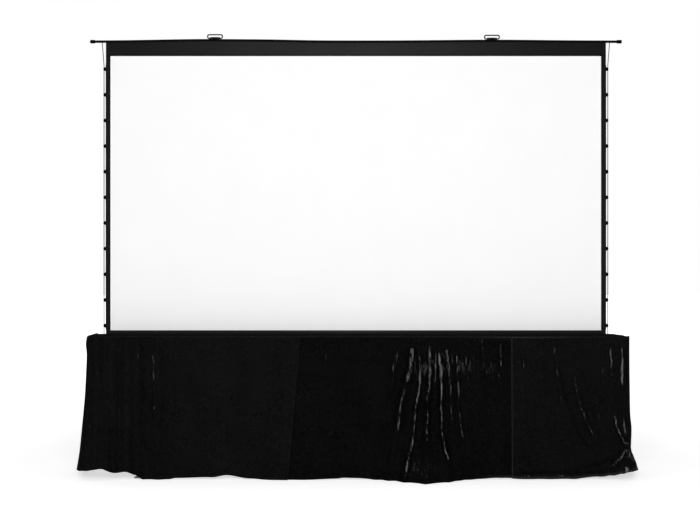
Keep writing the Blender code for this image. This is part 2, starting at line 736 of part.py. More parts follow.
def lift_points(side):
    """The pivots of one lift at rest as (x, z), by name."""
    outer, inner = side * PIVOT_X, side * (PIVOT_X - REST_REACH)
    middle = (outer + inner) / 2
    heights = [FOOT_PIVOT_Z + STAGE_RISE * i / 2 for i in range(2 * STAGES + 1)]
    return {
        "outer_foot": (outer, heights[0]),
        "inner_foot": (inner, heights[0]),
        "lower_cross": (middle, heights[1]),
        "outer_knee": (outer, heights[2]),
        "inner_knee": (inner, heights[2]),
        "upper_cross": (middle, heights[3]),
        "outer_head": (outer, heights[4]),
        "inner_head": (inner, heights[4]),
    }


def make_lift(label, side):
    """Four arms: the front pair carries the pins, the rear pair has the holes."""
    at = lift_points(side)
    rising = REST_ANGLE if side < 0 else math.pi - REST_ANGLE
    falling = math.pi - rising
    half = ARM_PITCH / 2
    front_y = ARMS_FRONT_Y + ARM_THICK / 2
    rear_y = REAR_ARMS_Y + ARM_THICK / 2

    arm = flat_arm(f"lower_front_arm_{label}", at["outer_foot"], rising, 0, ARM_PITCH, front_y)
    pin_end = RAILS_Y + RAIL_THICK + DRUM_BORE_DEEP - RUN
    join(arm, long_pin(f"foot_pin_{label}", at["outer_foot"], pin_end))
    join(arm, short_pin(f"lower_cross_pin_{label}", at["lower_cross"]))
    join(arm, short_pin(f"inner_knee_pin_{label}", at["inner_knee"]))
    painted(arm, "bare_aluminium")

    arm = flat_arm(f"lower_rear_arm_{label}", at["lower_cross"], falling, half, half, rear_y)
    join(arm, rail_pin(f"inner_foot_pin_{label}", at["inner_foot"]))
    cut(arm, arm_hole(f"lower_cross_hole_{label}", at["lower_cross"]))
    cut(arm, arm_hole(f"outer_knee_hole_{label}", at["outer_knee"]))
    painted(arm, "bare_aluminium")

    arm = flat_arm(f"upper_rear_arm_{label}", at["inner_knee"], falling, 0, ARM_PITCH, rear_y)
    join(arm, rail_pin(f"outer_head_pin_{label}", at["outer_head"]))
    cut(arm, arm_hole(f"inner_knee_hole_{label}", at["inner_knee"]))
    cut(arm, arm_hole(f"upper_cross_hole_{label}", at["upper_cross"]))
    painted(arm, "bare_aluminium")

    arm = flat_arm(f"upper_front_arm_{label}", at["upper_cross"], rising, half, half, front_y)
    join(arm, short_pin(f"outer_knee_pin_{label}", at["outer_knee"]))
    join(arm, short_pin(f"upper_cross_pin_{label}", at["upper_cross"]))
    join(arm, long_pin(f"inner_head_pin_{label}", at["inner_head"], RAILS_Y + RAIL_THICK))
    painted(arm, "bare_aluminium")


def rail_ends(side):
    """The x range of a rail that holds the fixed pivot and the sliding pin's whole travel."""
    outer = PIVOT_X + RAIL_MARGIN
    inner = PIVOT_X - FOLDED_REACH - RAIL_MARGIN
    return sorted((side * outer, side * inner))


def slide_slot(name, side, z):
    """Cutter for the slot that the sliding pin runs in."""
    radius = PIN_RADIUS + RUN
    outer = PIVOT_X - REST_REACH + radius
    inner = PIVOT_X - FOLDED_REACH - radius
    left, right = sorted((side * outer, side * inner))
    low = (left, RAILS_Y - OVERRUN, z - radius)
    high = (right, RAILS_Y + RAIL_THICK + OVERRUN, z + radius)
    return block(name, low, high, CUTTERS)


def make_base_rail(label, side):
    """The slotted rail that stands on the case floor, and the spring drum behind its pivot."""
    left, right = rail_ends(side)
    x, z = lift_points(side)["outer_foot"]
    floor = CASE_BASE_Z + WALL + SEAT
    section = [
        (RAILS_Y, floor),
        (RAILS_Y + BASE_RAIL_FOOT, floor),
        (RAILS_Y + BASE_RAIL_FOOT, floor + BASE_RAIL_FOOT_THICK),
        (RAILS_Y + RAIL_THICK, floor + BASE_RAIL_FOOT_THICK),
        (RAILS_Y + RAIL_THICK, z + BASE_RAIL_ABOVE),
        (RAILS_Y, z + BASE_RAIL_ABOVE),
    ]
    middle = ((left + right) / 2, 0, 0)
    rail = outline(f"base_rail_{label}", section, right - left, facing_side(middle), PARTS)
    cut(rail, slide_slot(f"base_slot_{label}", side, z))
    cut(rail, arm_hole(f"base_hole_{label}", (x, z)))
    painted(rail, "zinc_steel")

    near = RAILS_Y + RAIL_THICK + SEAT
    start, end = (x, near, z), (x, near + DRUM_DEEP, z)
    drum = rod(f"spring_drum_{label}", DRUM_RADIUS, start, end, PARTS, LARGE_ROUND_SIDES)
    start, end = (x, near - OVERRUN, z), (x, RAILS_Y + RAIL_THICK + DRUM_BORE_DEEP, z)
    cut(drum, rod(f"drum_bore_{label}", PIN_RADIUS + RUN, start, end, CUTTERS))
    painted(drum, "black_paint")


def make_head_rail(label, side):
    """The slotted rail below the bar, with two saddles that cradle the bar from behind."""
    left, right = rail_ends(side)
    x, z = lift_points(side)["outer_head"]
    under = z + ARM_WIDE / 2 + RUN
    section = [
        (RAILS_Y, z - HEAD_RAIL_BELOW),
        (RAILS_Y + RAIL_THICK, z - HEAD_RAIL_BELOW),
        (RAILS_Y + RAIL_THICK, under + HEAD_RAIL_FLANGE),
        (HEAD_RAIL_FRONT_Y, under + HEAD_RAIL_FLANGE),
        (HEAD_RAIL_FRONT_Y, under),
        (RAILS_Y, under),
    ]
    middle = ((left + right) / 2, 0, 0)
    rail = outline(f"head_rail_{label}", section, right - left, facing_side(middle), PARTS)
    for end, saddle_x in (("outer", left + SADDLE_INSET), ("inner", right - SADDLE_INSET)):
        low = (saddle_x - SADDLE_LONG / 2, HEAD_RAIL_FRONT_Y, under + HEAD_RAIL_FLANGE / 2)
        high = (saddle_x + SADDLE_LONG / 2, HEAD_RAIL_FRONT_Y + SADDLE_DEEP, bar_centre_z(saddle_x))
        join(rail, block(f"saddle_{end}_{label}", low, high, CUTTERS))
    cut(rail, BAR_CUTTER)
    cut(rail, slide_slot(f"head_slot_{label}", side, z))
    cut(rail, arm_hole(f"head_hole_{label}", (x, z)))
    painted(rail, "zinc_steel")


def make_roller():
    """The hollow tube the fabric winds on, the motor's crown in it and the idler plug at its end."""
    bore = ROLLER_BORE
    length = 2 * ROLLER_HALF
    profile = [(bore, length), (ROLLER_RADIUS, length), (ROLLER_RADIUS, 0), (bore, 0), (bore, length)]
    start = (-ROLLER_HALF, ROLLER_Y, ROLLER_Z)
    tube_piece = turned("roller_tube", profile, lying_along_x(start), PARTS, LARGE_ROUND_SIDES)
    painted(tube_piece, "bare_aluminium")

    crown_x = -ROLLER_HALF + MOTOR_LONG + SEAT
    hole = MOTOR_SHAFT_RADIUS + RUN
    outer = bore - SEAT
    profile = [(hole, CROWN_THICK), (outer, CROWN_THICK), (outer, 0), (hole, 0), (hole, CROWN_THICK)]
    turn = lying_along_x((crown_x, ROLLER_Y, ROLLER_Z))
    crown = turned("drive_crown", profile, turn, PARTS, LARGE_ROUND_SIDES)
    painted(crown, "black_plastic")

    flange = ROLLER_HALF + SEAT
    axle_end = BRACKET_X + BRACKET_THICK
    profile = [
        (0, axle_end),
        (AXLE_RADIUS, axle_end),
        (AXLE_RADIUS, flange + PLUG_FLANGE_THICK),
        (ROLLER_RADIUS, flange + PLUG_FLANGE_THICK),
        (ROLLER_RADIUS, flange),
        (outer, flange),
        (outer, flange - PLUG_DEEP),
        (0, flange - PLUG_DEEP),
    ]
    turn = lying_along_x((0, ROLLER_Y, ROLLER_Z))
    plug = turned("idler_plug", profile, turn, PARTS, LARGE_ROUND_SIDES)
    painted(plug, "black_plastic")


def make_motor():
    """The tubular motor inside the roller's left end, its collar, head and fixed stub."""
    end = -ROLLER_HALF + MOTOR_LONG
    head = -ROLLER_HALF - RUN
    profile = [
        (0, end + MOTOR_SHAFT_LONG),
        (MOTOR_SHAFT_RADIUS, end + MOTOR_SHAFT_LONG),
        (MOTOR_SHAFT_RADIUS, end),
        (MOTOR_RADIUS, end),
        (MOTOR_RADIUS, -ROLLER_HALF + MOTOR_COLLAR),
        (ROLLER_BORE - RUN, -ROLLER_HALF + MOTOR_COLLAR),
        (ROLLER_BORE - RUN, head),
        (MOTOR_HEAD_RADIUS, head),
        (MOTOR_HEAD_RADIUS, head - MOTOR_HEAD_LONG),
        (AXLE_RADIUS, head - MOTOR_HEAD_LONG),
        (AXLE_RADIUS, -BRACKET_X - BRACKET_THICK),
        (0, -BRACKET_X - BRACKET_THICK),
    ]
    turn = lying_along_x((0, ROLLER_Y, ROLLER_Z))
    motor = turned("tubular_motor", profile, turn, PARTS, LARGE_ROUND_SIDES)
    painted(motor, "black_paint")


def make_bracket(label, side):
    """An upright plate on the case floor that holds one end of the roller."""
    floor = CASE_BASE_Z + WALL + SEAT
    rear = ROLLER_Y + BRACKET_WIDE / 2
    front = ROLLER_Y - BRACKET_WIDE / 2
    left, right = sorted((side * BRACKET_X, side * (BRACKET_X + BRACKET_THICK)))
    low, high = (left, front, floor), (right, rear, floor + BRACKET_TALL)
    plate = block(f"roller_bracket_{label}", low, high, PARTS)
    inside = BRACKET_X + BRACKET_THICK / 2
    left, right = sorted((side * inside, side * (BRACKET_X + BRACKET_FOOT)))
    low, high = (left, front, floor), (right, rear, floor + BRACKET_THICK)
    join(plate, block(f"bracket_foot_{label}", low, high, CUTTERS))
    start = (side * (BRACKET_X - OVERRUN), ROLLER_Y, ROLLER_Z)
    end = (side * (BRACKET_X + BRACKET_THICK + OVERRUN), ROLLER_Y, ROLLER_Z)
    bore = AXLE_RADIUS + RUN
    cut(plate, rod(f"bracket_hole_{label}", bore, start, end, CUTTERS, LARGE_ROUND_SIDES))
    painted(plate, "zinc_steel")


def make_stand_side(label, side):
    """A post and the foot beam under it, bored for the castor stems and the jack spindles."""
    x = side * LEG_X
    half = LEG_WIDE / 2
    low = (x - half, LEG_Y - half, FOOT_TOP_Z + SEAT)
    high = (x + half, LEG_Y + half, LEG_TOP_Z)
    post = rounded(block(f"stand_post_{label}", low, high, PARTS), EDGE_ROUND)
    half -= TUBE_WALL
    low = (x - half, LEG_Y - half, FOOT_TOP_Z - OVERRUN)
    high = (x + half, LEG_Y + half, LEG_TOP_Z + OVERRUN)
    cut(post, block(f"post_bore_{label}", low, high, CUTTERS))
    painted(post, "black_paint")

    half = FOOT_WIDE / 2
    low = (x - half, FOOT_FRONT_Y, FOOT_BASE_Z)
    high = (x + half, FOOT_REAR_Y, FOOT_TOP_Z)
    foot = rounded(block(f"stand_foot_{label}", low, high, PARTS), EDGE_ROUND)
    for end, y in (("front", CASTOR_FRONT_Y), ("rear", CASTOR_REAR_Y)):
        low, high = (x, y, FOOT_BASE_Z - OVERRUN), (x, y, FOOT_BASE_Z + STEM_LONG + RUN)
        cut(foot, rod(f"stem_bore_{end}_{label}", STEM_RADIUS + RUN, low, high, CUTTERS))
    for end, y in (("front", JACK_FRONT_Y), ("rear", JACK_REAR_Y)):
        low, high = (x, y, FOOT_BASE_Z - OVERRUN), (x, y, FOOT_TOP_Z + OVERRUN)
        cut(foot, rod(f"spindle_bore_{end}_{label}", JACK_SPINDLE_RADIUS + RUN, low, high, CUTTERS))
    painted(foot, "black_paint")


def make_stretcher():
    """The rail between the two posts."""
    reach = LEG_X - LEG_WIDE / 2 - SEAT
    half = STRETCHER_SIDE / 2
    low = (-reach, LEG_Y - half, STRETCHER_Z - half)
    high = (reach, LEG_Y + half, STRETCHER_Z + half)
    rail = rounded(block("stand_stretcher", low, high, PARTS), EDGE_ROUND)
    half -= TUBE_WALL
    low = (-reach - OVERRUN, LEG_Y - half, STRETCHER_Z - half)
    high = (reach + OVERRUN, LEG_Y + half, STRETCHER_Z + half)
    cut(rail, block("stretcher_bore", low, high, CUTTERS))
    painted(rail, "black_paint")


def make_castor(label, x, y):
    """A swivelling fork with its stem and axle, and the wheel on that axle."""
    top = FOOT_BASE_Z - SEAT
    plate_half = CROWN_PLATE_WIDE / 2
    crown_low = (x - plate_half, y - plate_half, top - CROWN_PLATE_THICK)
    fork = block(f"castor_fork_{label}", crown_low, (x + plate_half, y + plate_half, top), PARTS)
    start, end = (x, y, top - OVERRUN), (x, y, top + STEM_LONG)
    join(fork, rod(f"stem_{label}", STEM_RADIUS, start, end, CUTTERS))
    wheel_y = y + CASTOR_TRAIL
    gap = WHEEL_HUB_WIDE / 2 + RUN
    cheek_half = CHEEK_WIDE / 2
    points = arc((wheel_y, WHEEL_Z), cheek_half, math.pi, 2 * math.pi, END_STEPS)
    points.append((y + plate_half - OVERRUN, top - OVERRUN))
    points.append((y - plate_half + OVERRUN, top - OVERRUN))
    for end, way in SIDES:
        middle = facing_side((x + way * (gap + CHEEK_THICK / 2), 0, 0))
        join(fork, outline(f"cheek_{end}_{label}", points, CHEEK_THICK, middle, CUTTERS))
    reach = gap + CHEEK_THICK - RUN
    start, end = (x - reach, wheel_y, WHEEL_Z), (x + reach, wheel_y, WHEEL_Z)
    join(fork, rod(f"axle_{label}", AXLE_PIN_RADIUS, start, end, CUTTERS))
    painted(fork, "zinc_steel")

    bore = AXLE_PIN_RADIUS + RUN
    tread, hub = WHEEL_WIDE / 2, WHEEL_HUB_WIDE / 2
    upper = [
        (bore, hub),
        (WHEEL_HUB_RADIUS, hub),
        (WHEEL_HUB_RADIUS, tread - WHEEL_DISH),
        (WHEEL_RIM_RADIUS, tread - WHEEL_DISH),
        (WHEEL_RIM_RADIUS, tread),
        (WHEEL_RADIUS - WHEEL_ROUND, tread),
        (WHEEL_RADIUS, tread - WHEEL_ROUND),
    ]
    profile = upper + [(radius, -height) for radius, height in reversed(upper)] + [upper[0]]
    turn = lying_along_x((x, wheel_y, WHEEL_Z))
    wheel = turned(f"castor_wheel_{label}", profile, turn, PARTS, WHEEL_SIDES)
    painted(wheel, "grey_rubber")


def make_jack(label, x, y):
    """A levelling jack: round pad on the floor, threaded spindle through the foot beam, knob."""
    knob_top = JACK_KNOB_Z + JACK_KNOB_TALL
    profile = [
        (0, knob_top),
        (JACK_KNOB_RADIUS, knob_top),
        (JACK_KNOB_RADIUS, JACK_KNOB_Z),
        (JACK_SPINDLE_RADIUS, JACK_KNOB_Z),
        (JACK_SPINDLE_RADIUS, JACK_NECK_Z),
        (JACK_PAD_RADIUS, JACK_PAD_THICK),
        (JACK_PAD_RADIUS, 0),
        (0, 0),
    ]
    jack = turned(f"levelling_jack_{label}", profile, Matrix.Translation((x, y, 0)), PARTS)
    painted(jack, "zinc_steel")


def make_control_box():
    """The box on the back of the case with its mains inlet, and the rocker in its pocket."""
    near = CASE_REAR_Y + SEAT
    far = near + BOX_DEEP
    low = (BOX_X - BOX_WIDE / 2, near, BOX_Z - BOX_TALL / 2)
    high = (BOX_X + BOX_WIDE / 2, far, BOX_Z + BOX_TALL / 2)
    box = block("control_box", low, high, PARTS)
    inlet_x = BOX_X + INLET_SHIFT
    low = (inlet_x - INLET_WIDE / 2, far - INLET_DEEP, BOX_Z - INLET_TALL / 2)
    high = (inlet_x + INLET_WIDE / 2, far + OVERRUN, BOX_Z + INLET_TALL / 2)
    cut(box, block("inlet_pocket", low, high, CUTTERS))
    switch_x = BOX_X + SWITCH_SHIFT
    low = (switch_x - SWITCH_WIDE / 2, far - SWITCH_DEEP, BOX_Z - SWITCH_TALL / 2)
    high = (switch_x + SWITCH_WIDE / 2, far + OVERRUN, BOX_Z + SWITCH_TALL / 2)
    cut(box, block("switch_pocket", low, high, CUTTERS))
    painted(box, "black_plastic")

    section = [
        (ROCKER_PROUD, ROCKER_HALF_TALL),
        (ROCKER_PROUD - ROCKER_DISH, 0),
        (ROCKER_PROUD, -ROCKER_HALF_TALL),
        (-ROCKER_ROOT_DEEP, -ROCKER_ROOT_HALF_TALL),
        (-ROCKER_ROOT_DEEP, ROCKER_ROOT_HALF_TALL),
    ]
    wide = SWITCH_WIDE - 2 * SEAT
    rocker = outline("rocker_switch", section, wide, facing_side((switch_x, far, BOX_Z)), PARTS)
    painted(rocker, "black_plastic")


def eased(share):
    """A smooth step from 0 to 1 as the share goes from 0 to 1."""
    share = min(max(share, 0), 1)
    return share * share * (3 - 2 * share)


def between(start, end, share):
    return start + (end - start) * share


def bump(place, middle, wide):
    """A smooth hump of height 1."""
    return math.exp(-(((place - middle) / wide) ** 2))


def fold_height(along, down):
    """How far the cloth stands out in its folds: along in metres, down as a share of the height."""
    total = 0
    for (top, hem), (start, end), depth_share, wide_share in FOLD_SHARES:
        middle = CASE_HALF * between(top, hem, down)
        wide = FOLD_HALF_WIDE * wide_share * between(TOP_WIDE_SHARE, HEM_WIDE_SHARE, down)
        fade = eased((down - start) / FADE_IN_SHARE) * (1 - eased((down - end) / FADE_OUT_SHARE))
        deep = FOLD_DEPTH * depth_share * between(TOP_DEPTH_SHARE, 1, down)
        total += deep * fade * bump(along, middle, wide)
    return total


def spread_height(along, down):
    """How far the lower cloth stands out as a whole."""
    total = HEM_FLARE * down * down
    for place, wide, share, power in SPREAD_SHARES:
        total += HEM_SPREAD * share * bump(along / CASE_HALF, place, wide) * down**power
    return total


def hem_z(along):
    where = along / CASE_HALF
    lift = sum(share * bump(where, place, wide) for place, wide, share in LIFT_SHARES)
    return SKIRT_HEM_Z + HEM_LIFT * lift


def seam_height(from_seam, down):
    """How far a panel rides over its neighbour, by its distance from its own seam edge."""
    ramp = eased((SEAM_RAMP_START - from_seam) / (SEAM_RAMP_START - SEAM_RAMP_END))
    return ramp * (SKIRT_THICK + SEAT + SEAM_HANG * down)


def skirt_point(along, down, extra):
    """A point of the cloth's inner face. Past the corner the way along runs back down the side."""
    corner = CASE_HALF + SEAT
    front = CASE_FRONT_Y - SEAT
    side = 1 if along > 0 else -1
    past = abs(along) - corner
    out = fold_height(along, down) + spread_height(along, down) + extra
    x = along if past < 0 else side * corner
    y = front if past < 0 else front + past
    if past >= -SEAT:
        x += side * out
    if past <= SEAT:
        y -= out
    return (x, y, between(SKIRT_TOP_Z, hem_z(along), down))


def columns_between(start, end, count):
    """Stations from one (top, hem) pair to another, both included."""
    tops = spaced(start[0], end[0], count + 1)
    hems = spaced(start[1], end[1], count + 1)
    return list(zip(tops, hems))


def skirt_panel(name, stations, seam=None):
    """A cloth panel whose columns stand at stations (along at the top, along at the hem)."""
    shape = bmesh.new()
    columns = len(stations) - 1
    bmesh.ops.create_grid(shape, x_segments=columns, y_segments=SKIRT_ROWS, size=1)
    for vertex in shape.verts:
        station = round((vertex.co.x + 1) / 2 * columns)
        down = (1 - vertex.co.y) / 2
        top, hem = stations[station]
        along = between(top, hem, down)
        extra = 0
        if seam:
            extra = seam_height(abs(along - between(*seam, down)), down)
        vertex.co = skirt_point(along, down, extra)
    thing = placed(name, mesh_from(name, shape), PARTS)
    shell = thing.modifiers.new("cloth", "SOLIDIFY")
    shell.thickness = SKIRT_THICK
    shell.offset = 1
    shell.use_even_offset = True
    return painted(smooth(thing), "black_velvet")


def make_skirt():
    """Left and right panels that wrap the case ends, and the middle one that runs behind both."""
    corner = CASE_HALF + SEAT
    back = corner + CASE_REAR_Y - CASE_FRONT_Y - SKIRT_BACK_INSET
    left_seam = (LEFT_SEAM_TOP_X, LEFT_SEAM_HEM_X)
    right_seam = (RIGHT_SEAM_X, RIGHT_SEAM_X)

    stations = columns_between((-back, -back), (-corner, -corner), SIDE_COLUMNS)
    stations += columns_between((-corner, -corner), left_seam, LEFT_COLUMNS)[1:]
    skirt_panel("skirt_left_panel", stations, left_seam)

    start = (LEFT_SEAM_TOP_X - SEAM_OVERLAP, LEFT_SEAM_HEM_X - SEAM_OVERLAP)
    end = (RIGHT_SEAM_X + SEAM_OVERLAP, RIGHT_SEAM_X + SEAM_OVERLAP)
    skirt_panel("skirt_middle_panel", columns_between(start, end, MIDDLE_COLUMNS))

    stations = columns_between(right_seam, (corner, corner), RIGHT_COLUMNS)
    stations += columns_between((corner, corner), (back, back), SIDE_COLUMNS)[1:]
    skirt_panel("skirt_right_panel", stations, right_seam)


def make_stand():
    """Both sides of the stand with their castors and jacks, and the rail between the posts."""
    for label, side in SIDES:
        make_stand_side(label, side)
        for end, castor_y, jack_y in (
            ("front", CASTOR_FRONT_Y, JACK_FRONT_Y),
            ("rear", CASTOR_REAR_Y, JACK_REAR_Y),
        ):
            make_castor(f"{end}_{label}", side * LEG_X, castor_y)
            make_jack(f"{end}_{label}", side * LEG_X, jack_y)
    make_stretcher()


def hang_bar():
    """The bar and all it carries move about the head pin of the left lift."""
    names = ["top_bar"]
    for label, _ in SIDES:
        names += [f"bar_end_cap_{label}", f"loop_clamp_{label}", f"head_rail_{label}"]
    x, z = lift_points(-1)["outer_head"]
    carried(names, (x, RAILS_Y, z))


clear_scene()
PARTS = new_collection("portable_projection_screen")
CUTTERS = new_collection("cutters")
BAR_CUTTER = bar_cutter("bar_seat")

make_fabric()
make_bar()
make_loop("left", LEFT_LOOP_X)
make_loop("right", RIGHT_LOOP_X)
make_case()
make_roller()
make_motor()
for LABEL, SIDE in SIDES:
    make_tabs(f"tension_tabs_{LABEL}", SIDE)
    make_cord(f"tension_cord_{LABEL}", SIDE)
    make_lift(LABEL, SIDE)
    make_base_rail(LABEL, SIDE)
    make_head_rail(LABEL, SIDE)
    make_bracket(LABEL, SIDE)
make_stand()
make_control_box()
make_skirt()
hang_bar()
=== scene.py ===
"""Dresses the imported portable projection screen: its cloth, paint, metal and fastenings, and a studio.

Metres, Z up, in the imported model's own frame: the origin lies on the floor below the middle of the
screen, whose white side faces -Y.
"""

import math

import bmesh
import bpy
from mathutils import Matrix, Vector, noise


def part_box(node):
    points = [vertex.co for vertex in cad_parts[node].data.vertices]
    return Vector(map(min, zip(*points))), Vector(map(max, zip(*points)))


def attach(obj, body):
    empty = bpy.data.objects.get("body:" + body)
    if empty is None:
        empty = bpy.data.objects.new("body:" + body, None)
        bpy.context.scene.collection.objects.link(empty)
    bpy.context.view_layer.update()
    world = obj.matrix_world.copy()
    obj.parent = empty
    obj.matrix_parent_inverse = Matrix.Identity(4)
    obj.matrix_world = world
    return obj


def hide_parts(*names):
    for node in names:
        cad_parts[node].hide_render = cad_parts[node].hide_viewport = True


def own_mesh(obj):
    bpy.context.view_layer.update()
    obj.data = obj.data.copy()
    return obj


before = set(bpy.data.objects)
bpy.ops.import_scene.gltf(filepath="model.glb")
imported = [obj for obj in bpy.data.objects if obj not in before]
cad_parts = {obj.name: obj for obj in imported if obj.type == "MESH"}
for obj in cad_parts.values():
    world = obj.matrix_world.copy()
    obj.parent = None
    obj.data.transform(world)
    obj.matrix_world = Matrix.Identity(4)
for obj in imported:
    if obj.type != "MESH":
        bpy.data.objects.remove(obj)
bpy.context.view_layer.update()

bl_info = {
    "name": "Portable Projection Screen",
    "version": (1, 0, 0),
    "blender": (4, 5, 0),
    "location": "View3D > Sidebar > Projection Screen",
    "description": "Dresses a packed portable projection screen with its cloth, metal and fastenings",
    "category": "Add Mesh",
}

# Camera: where it stands and how long its lens is, in pixels of a frame this wide
CAMERA_PLACE = (-0.04, -8.0, 1.454)
CAMERA_FOCAL = 1182.7
CAMERA_FRAME = 700
SENSOR_WIDE = 36.0

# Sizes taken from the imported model
SHEET_LOW, SHEET_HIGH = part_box("black_backing")
WHITE_LOW, WHITE_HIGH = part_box("white_surface")
CASE_LOW, CASE_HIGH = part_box("case_end_plate_left")
CASE_HALF = -CASE_LOW.x
DECK_Z = CASE_HIGH.z
ROLLER_Z = SHEET_LOW.z
ROLLER_LOW, ROLLER_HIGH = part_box("roller_tube")
ROLLER_Y = (ROLLER_LOW.y + ROLLER_HIGH.y) / 2
SIDES = (("left", -1), ("right", 1))

# Screen cloth
BAR_Z = 2.9235
BAR_RADIUS = 0.0085
BAR_RISES = ((-1.000, 0.0100, 0.450), (-0.550, 0.0030, 0.220), (0.920, 0.0055, 0.450))
TAB_COUNT = 11
TAB_BASE_Z = 1.0035
TAB_PITCH = 0.1735
TAB_TOP_Z = TAB_BASE_Z + (TAB_COUNT - 1) * TAB_PITCH
TAB_OUT = 0.013
CORD_RADIUS = 0.0026
CORD_OUT_AT_BAR = 0.025
CAP_BORE_DEEP = 0.019
HEM_LAP = 0.007
BORDER_LAPS = (0.0006, 0.0027)
HEM_FRONT = 0.0005
BORDER_FRONT = 0.0004
TAPE_BEHIND = 0.0001
STRIP_OUT = 0.0022
STRIP_WIDE = 0.015
STRIP_PAST_TAB = 0.027
LOOP_AXIS_UP = 0.00325
LOOP_WIRE = 0.0042
LOOP_CORNER = 0.010
SLEEVE_DROP = 0.014
SLEEVE_INSIDE = 0.006
SLEEVE_INSET = 0.002
SLEEVE_BEFORE = (0.0012, 0.0007)

# Columns and rows of the cloths, and steps along the bar, cord and strips
CLOTH_STEPS = (81, 241)
FACE_STEPS = (61, 41)
BAR_STEPS = 97
CORD_STEPS = 30
STRIP_STEPS = 200

# Lifts
PIVOT_X = 1.5
LIFT_HEIGHTS = (0.660, 1.218625, 1.77725, 2.335875, 2.8945)
LIFT_ANGLE = math.radians(62)
ARM_PITCH = 2 * (LIFT_HEIGHTS[1] - LIFT_HEIGHTS[0]) / math.sin(LIFT_ANGLE)
ARM_HALF_WIDE = 0.0175
ARM_THICK = 0.006
FRONT_ARM_Y = 0.027
REAR_ARM_Y = 0.0335
RAIL_Y = 0.037
RAIL_THICK = 0.006
PIN_RADIUS = 0.006
PIN_HEAD = 0.010
RAIL_PIN_Y = (0.0302, 0.0312)
BOSS_Y = (0.0305, 0.0364)

# Case and stand
CASE_PIECES = (
    ("case_front_shell", "front_case_shell"),
    ("case_rear_shell", "rear_case_shell"),
    ("case_floor", "case_bottom"),
    ("case_end_plate_left", "case_end_left"),
    ("case_end_plate_right", "case_end_right"),
)
KNOB_RADIUS = 0.0135
SPINDLE_RADIUS = 0.006
THREAD_PITCH = 0.0015

# Screws and stitches. The profile is a button head one metre across, as (radius, height).
SCREW_PROFILE = (
    *((0, 0.16), (0.17, 0.16), (0.17, 0.34), (0.30, 0.34)),
    *((0.44, 0.22), (0.5, 0.06), (0.5, 0), (0, 0)),
)
CLAMP_SCREW = 0.0065
DRUM_SCREW = 0.0045
CASE_SCREW = 0.008
SHELL_SCREW = 0.007
CONTROL_SCREW = 0.0055
STITCH_PITCH = 0.008
STITCH_LONG = 0.005
THREAD_THICK = 0.0009

# Stage: how far the floor reaches, and each lamp's place, aim and size
FLOOR_REACH = 40
KEY_LAMP = ((-0.1, -7.5, 3.3), (0, 0, 1.5), (3.0, 2.4))
SIDE_LAMP = ((6.4, -6.4, 1.9), (1.2, 0, 1.0), (2.6, 2.6))

# Skirt
SKIRT_TOP_Z = 0.947
VELVET_THICK = 0.0015
SKIRT_FRONT_Y = CASE_LOW.y - 0.0003
CORNER_ROUND = 0.008
FOLD_HALF_WIDE = 0.026
LEFT_SEAM = (-0.370, -0.449)
RIGHT_SEAM = (1.026, 1.026)
SEAM_LAP = 0.050
LAP_COLUMNS = 10
HEM_INSET_COLUMNS = 2
HEM_INSET_ROWS = 2
SKIRT_BACK = CASE_HALF + CASE_HIGH.y - CASE_LOW.y - 0.002
CREASE_REACH = 3

# How far the skirt's top hem sags at the left corner and in its middle
SAG_AT_CORNER = 0.010
SAG_IN_MIDDLE = 0.0085

# How far the skirt stands out, in metres, beside its folds and creases
LEAST_OUT = 0.0004
CORNER_OUT = 0.004
KNOT_OUT = 0.0085
BULGE_OUT = 0.005
PINCH_IN = 0.0135
SLACK_OUT = 0.030
HEM_OUT = 0.012
FINE_OUT = 0.0015
RIPPLE_OUT = 0.0008
RIPPLE_OUT_LEFT = 0.0018
BROAD_OUT = 0.004
SEAM_OUT = 0.0033
SEAM_OUT_AT_HEM = 0.014

# Main folds as shares of the case's half length: (where at the top, where at the hem). Then how
# far down each begins and ends as shares of the height, and its depth and width as shares of the
# named ones.
FOLD_SHARES = (
    ((-0.985, -0.965), (0.05, 1.00), 0.70, 1.1),
    ((-0.930, -0.925), (0.04, 1.00), 0.55, 1.0),
    ((-0.870, -0.880), (0.10, 1.00), 0.60, 1.0),
    ((-0.812, -0.810), (0.03, 1.00), 0.55, 1.0),
    ((-0.753, -0.735), (0.08, 1.00), 0.60, 1.1),
    ((-0.500, -0.520), (0.25, 1.00), 0.35, 1.6),
    ((0.030, -0.020), (0.20, 1.00), 0.35, 1.5),
    ((0.165, 0.070), (0.04, 1.00), 0.60, 1.0),
    ((0.215, 0.118), (0.04, 1.00), 1.00, 1.0),
    ((0.246, 0.172), (0.04, 1.00), 0.95, 1.0),
    ((0.275, 0.253), (0.04, 1.00), 0.90, 1.0),
    ((0.308, 0.345), (0.04, 1.00), 0.95, 1.0),
    ((0.341, 0.382), (0.06, 1.00), 0.70, 0.9),
    ((0.376, 0.425), (0.10, 1.00), 0.60, 1.0),
    ((0.469, 0.480), (0.02, 0.80), 0.50, 1.0),
    ((0.537, 0.540), (0.02, 1.00), 0.45, 1.0),
    ((0.620, 0.630), (0.04, 0.75), 0.35, 1.0),
    ((0.693, 0.705), (0.02, 0.60), 0.45, 1.0),
    ((0.735, 0.810), (0.02, 0.95), 0.80, 1.0),
    ((0.800, 0.925), (0.15, 1.00), 0.75, 1.1),
    ((0.917, 0.960), (0.05, 1.00), 0.65, 1.0),
    ((0.968, 0.990), (0.04, 1.00), 0.60, 0.9),
    ((1.060, 1.050), (0.06, 1.00), 0.60, 1.0),
    ((1.130, 1.125), (0.06, 1.00), 0.60, 1.0),
    ((-1.050, -1.045), (0.06, 1.00), 0.60, 1.0),
    ((-1.125, -1.120), (0.06, 1.00), 0.55, 1.0),
)

